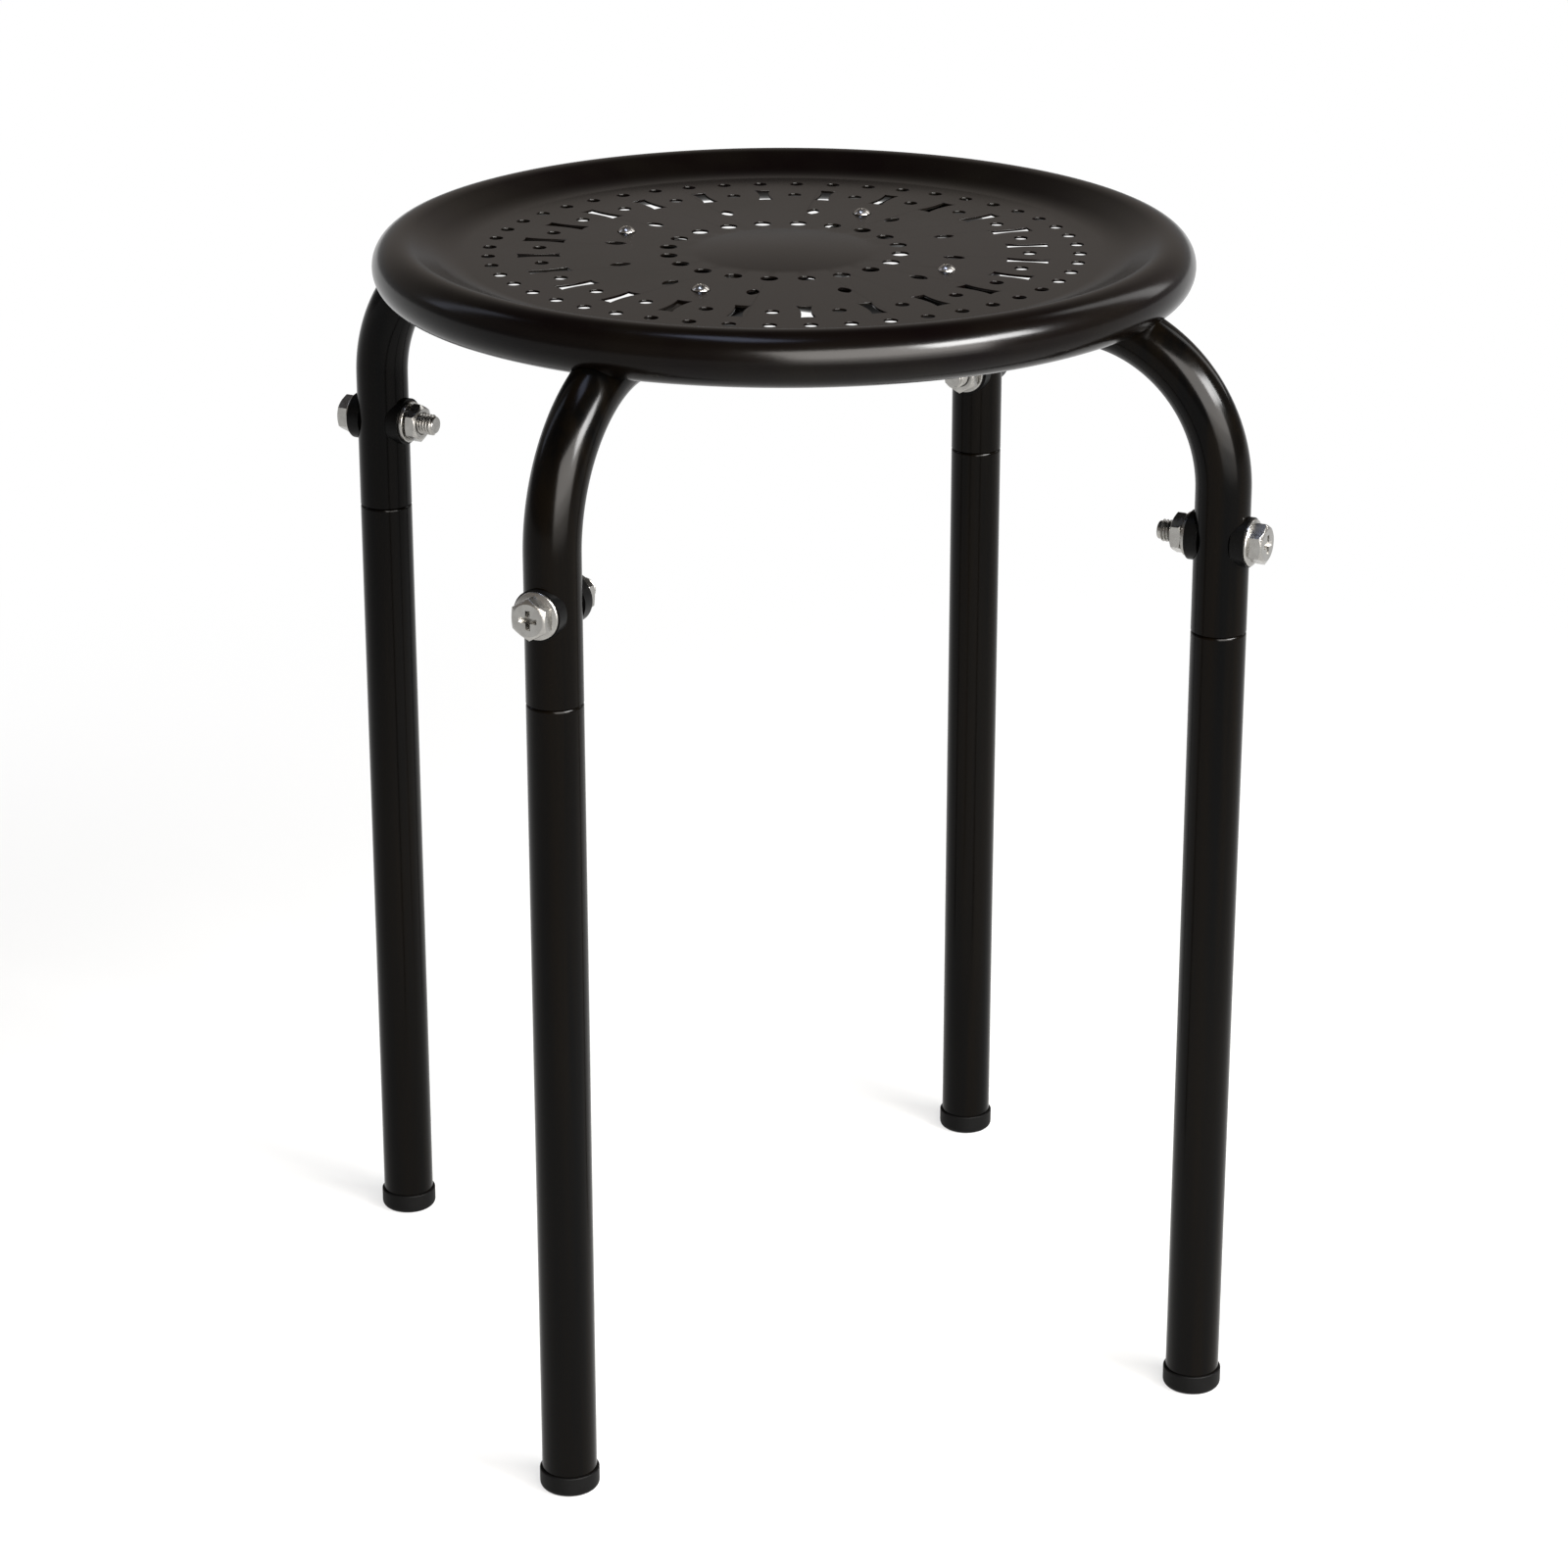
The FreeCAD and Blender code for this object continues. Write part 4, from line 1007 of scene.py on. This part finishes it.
class STOOL_OT_nuts(bpy.types.Operator):
    """Make the flat washers and nuts of the leg bolts"""

    bl_idname = "stool.nuts"
    bl_label = "Washers and nuts"

    def execute(self, context):
        sizes = context.scene.stool_fixings
        back = saddle_back()
        top = back + sizes.washer
        chamfer, rounding = 0.2 * MM, 0.4 * MM
        hole = sizes.bolt_radius + sizes.bolt_gap
        outside = sizes.washer_radius
        profile = [(hole, back), (outside - chamfer, back), (outside, back + chamfer),
                   (outside, top - rounding)]
        profile += arc((outside - rounding, top - rounding), rounding, 0, QUARTER_TURN, 4)
        profile += [(hole + chamfer, top), (hole, top - chamfer), (hole, back)]
        washer = lathe("washer", profile, ROUND_FACES)
        lay_along_bolt(washer, inward=True)
        smooth(washer, limit=35)
        finish_ring(washer, "washer", "zinc plated steel", "inner_zinc", "flat_washer")

        end = top + sizes.nut
        thread_gap, flare, spare = 0.05 * MM, 0.45 * MM, 1 * MM
        bore = sizes.bolt_radius + thread_gap
        wide = bore + flare + spare
        nut = hex_body("nut", top, end, sizes, both_ends=True)
        soften(nut, 0.12 * MM, steps=2, limit=25)
        profile = [(0, top - spare), (wide, top - spare), (bore, top + flare), (bore, end - flare),
                   (wide, end + spare), (0, end + spare)]
        combine(nut, lathe("nut_bore", profile, SCREW_FACES))
        mend(nut)
        lay_along_bolt(nut, inward=True)
        smooth(nut, limit=32)
        finish_ring(nut, "nut", "zinc plated steel", "inner_zinc", "leg_nut")
        return {"FINISHED"}


class STOOL_OT_screws(bpy.types.Operator):
    """Make the seat screws and finish the rivet nuts under them"""

    bl_idname = "stool.screws"
    bl_label = "Seat screws"

    def execute(self, context):
        sizes = context.scene.stool_fixings
        flat = flat_height()
        tip = flat - sizes.screw_length
        shank, head, rise = sizes.screw_radius, sizes.screw_head, sizes.screw_rise
        sphere = (head ** 2 + rise ** 2) / (2 * rise)
        turn = math.asin(head / sphere)
        chamfer = 0.4 * MM
        profile = [(0, tip), (shank - chamfer, tip), (shank, tip + chamfer),
                   (shank, flat - context.scene.stool_seat.sheet)]
        profile += arc((0, flat + rise - sphere), sphere, QUARTER_TURN - turn, QUARTER_TURN, 10)
        piece = lathe("screw", profile, SCREW_FACES)
        soften(piece, 0.2 * MM, steps=3, limit=30)
        combine(piece, cross_cutter(sizes.screw_recess, sizes.screw_recess_width, flat + rise,
                                    sizes.screw_recess_depth))
        close_up(piece)
        piece.location.x = sizes.screw_circle
        settle(piece)
        smooth(piece, limit=32)
        finish_ring(piece, "screw", "nickel plated steel", "screw_zinc", "seat_screw")
        for side in LEG_TURNS:
            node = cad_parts[f"rivet_nut_{side}"]
            node.data.materials.clear()
            node.data.materials.append(bpy.data.materials["zinc plated steel"])
        return {"FINISHED"}


def direction(turn, rise):
    """Unit vector from the stool, turned anticlockwise from the front and raised."""
    flat = math.cos(rise)
    return Vector((math.sin(turn) * flat, -math.cos(turn) * flat, math.sin(rise)))


class STOOL_OT_stage(bpy.types.Operator):
    """Set the floor, the surround, the lights and the camera"""

    bl_idname = "stool.stage"
    bl_label = "Studio"

    def execute(self, context):
        stage = context.scene.stool_stage
        shades = context.scene.stool_finishes
        context.scene.view_settings.view_transform = "Standard"
        self.floor(shades)
        self.surround(context.scene, stage, shades)
        self.softbox(stage, "panel", *KEY_PANEL, stage.key)
        for name, settings in SOFTBOXES.items():
            self.softbox(stage, name, *settings)
        self.camera(context.scene, stage)
        return {"FINISHED"}

    def floor(self, shades):
        """Pale floor that keeps the shadow near the stool and turns plain white away from it."""
        shadow_reach, white_from = 0.3, 1.0
        near_white = 0.7
        bpy.ops.object.select_all(action="DESELECT")
        bpy.ops.mesh.primitive_plane_add(size=40)
        floor = named(bpy.context.object, "studio_floor")
        tree = new_material("studio floor")
        place = add_node(tree, "ShaderNodeTexCoord").outputs["Object"]
        away = add_node(tree, "ShaderNodeVectorMath", {"operation": "LENGTH"}, {0: place})
        fade = add_node(tree, "ShaderNodeMapRange", {"interpolation_type": "SMOOTHSTEP"}, {
            "Value": away.outputs["Value"], "From Min": shadow_reach, "From Max": white_from,
            "To Min": near_white, "To Max": 1.0})
        light_path = add_node(tree, "ShaderNodeLightPath")
        seen = add_node(tree, "ShaderNodeMath", {"operation": "ADD", "use_clamp": True}, {
            0: light_path.outputs["Is Camera Ray"], 1: light_path.outputs["Is Glossy Ray"]})
        seen = add_node(tree, "ShaderNodeMath", {"operation": "ADD", "use_clamp": True}, {
            0: seen.outputs["Value"], 1: light_path.outputs["Is Transmission Ray"]})
        share = add_node(tree, "ShaderNodeMath", {"operation": "MULTIPLY"}, {
            0: seen.outputs["Value"], 1: fade.outputs["Result"]})
        matt = add_node(tree, "ShaderNodeBsdfDiffuse", inputs={"Color": shades.floor})
        white = add_node(tree, "ShaderNodeEmission", inputs={"Strength": 1.0})
        mixed = add_node(tree, "ShaderNodeMixShader", inputs={
            0: share.outputs["Value"], 1: matt.outputs["BSDF"], 2: white.outputs["Emission"]})
        add_node(tree, "ShaderNodeOutputMaterial", inputs={"Surface": mixed.outputs["Shader"]})
        floor.data.materials.append(bpy.data.materials["studio floor"])

    def surround(self, scene, stage, shades):
        """Room with pale walls and a dim ceiling. Heights are those of a ray one unit long."""
        ceiling_starts, ceiling_full = 0.4, 0.85
        low_walls_end, high_walls_start = 0.05, 0.25
        world = bpy.data.worlds.new("studio room")
        world.use_nodes = True
        tree = world.node_tree
        tree.nodes.clear()
        ray = add_node(tree, "ShaderNodeTexCoord").outputs["Generated"]
        height = add_node(tree, "ShaderNodeSeparateXYZ", inputs={"Vector": ray}).outputs["Z"]
        strength = add_node(tree, "ShaderNodeMapRange", {"interpolation_type": "SMOOTHSTEP"}, {
            "Value": height, "From Min": ceiling_starts, "From Max": ceiling_full,
            "To Min": stage.walls, "To Max": stage.ceiling})
        up = add_node(tree, "ShaderNodeMapRange", {"interpolation_type": "SMOOTHSTEP"}, {
            "Value": height, "From Min": low_walls_end, "From Max": high_walls_start})
        shade = add_node(tree, "ShaderNodeMix", {"data_type": "RGBA"}, {
            "Factor": up.outputs["Result"], "A": shades.low_walls, "B": shades.high_walls})
        light = add_node(tree, "ShaderNodeBackground", inputs={
            "Color": shade.outputs["Result"], "Strength": strength.outputs["Result"]})
        add_node(tree, "ShaderNodeOutputWorld", inputs={"Surface": light.outputs["Background"]})
        scene.world = world

    def softbox(self, stage, name, side, height, width, depth, code, power):
        """Rectangular area light that faces the stool."""
        away = direction(stage.azimuth + math.radians(side), math.radians(height))
        target = Vector((0, 0, stage.target))
        bpy.ops.object.light_add(type="AREA", location=target + away * stage.light_distance)
        light = bpy.context.object
        light.name = name
        light.data.shape = "RECTANGLE"
        light.data.size, light.data.size_y = width, depth
        light.data.energy = power
        light.data.color = linear(code)[:3]
        light.rotation_euler = away.to_track_quat("Z", "Y").to_euler()

    def camera(self, scene, stage):
        """Camera at the photograph's viewing angle."""
        away = direction(stage.azimuth, stage.elevation)
        target = Vector((0, 0, stage.target))
        bpy.ops.object.camera_add(location=target + away * stage.distance)
        camera = bpy.context.object
        camera.rotation_euler = away.to_track_quat("Z", "Y").to_euler()
        camera.data.lens = stage.lens
        camera.data.sensor_width = 36
        scene.camera = camera


GROUPS = {
    "stool_seat": StoolSeatSizes,
    "stool_tubes": StoolTubeSizes,
    "stool_fixings": StoolFixingSizes,
    "stool_finishes": StoolFinishes,
    "stool_stage": StoolStage,
}
OPERATORS = (
    STOOL_OT_finishes,
    STOOL_OT_seat,
    STOOL_OT_cross_tubes,
    STOOL_OT_legs,
    STOOL_OT_feet,
    STOOL_OT_bolts,
    STOOL_OT_saddles,
    STOOL_OT_nuts,
    STOOL_OT_screws,
    STOOL_OT_stage,
)


class VIEW3D_PT_stool(bpy.types.Panel):
    """Steps and sizes of the stool"""

    bl_idname = "VIEW3D_PT_stool"
    bl_label = "Stacking Stool"
    bl_space_type = "VIEW_3D"
    bl_region_type = "UI"
    bl_category = "Stool"

    def draw(self, context):
        for step in OPERATORS:
            self.layout.operator(step.bl_idname)
        for name, group in GROUPS.items():
            box = self.layout.box()
            box.label(text=group.__doc__)
            for size in group.__annotations__:
                box.prop(getattr(context.scene, name), size)


def register():
    """Register the sizes, the steps and the panel."""
    for part in (*GROUPS.values(), *OPERATORS, VIEW3D_PT_stool):
        bpy.utils.register_class(part)
    for name, group in GROUPS.items():
        setattr(bpy.types.Scene, name, bpy.props.PointerProperty(type=group))


def unregister():
    """Remove what register added."""
    for name in GROUPS:
        delattr(bpy.types.Scene, name)
    for part in (VIEW3D_PT_stool, *reversed(OPERATORS), *reversed(list(GROUPS.values()))):
        bpy.utils.unregister_class(part)


def main():
    """Register the steps and build the stool step by step."""
    register()
    for step in OPERATORS:
        group, name = step.bl_idname.split(".")
        getattr(getattr(bpy.ops, group), name)()


if __name__ == "__main__":
    main()
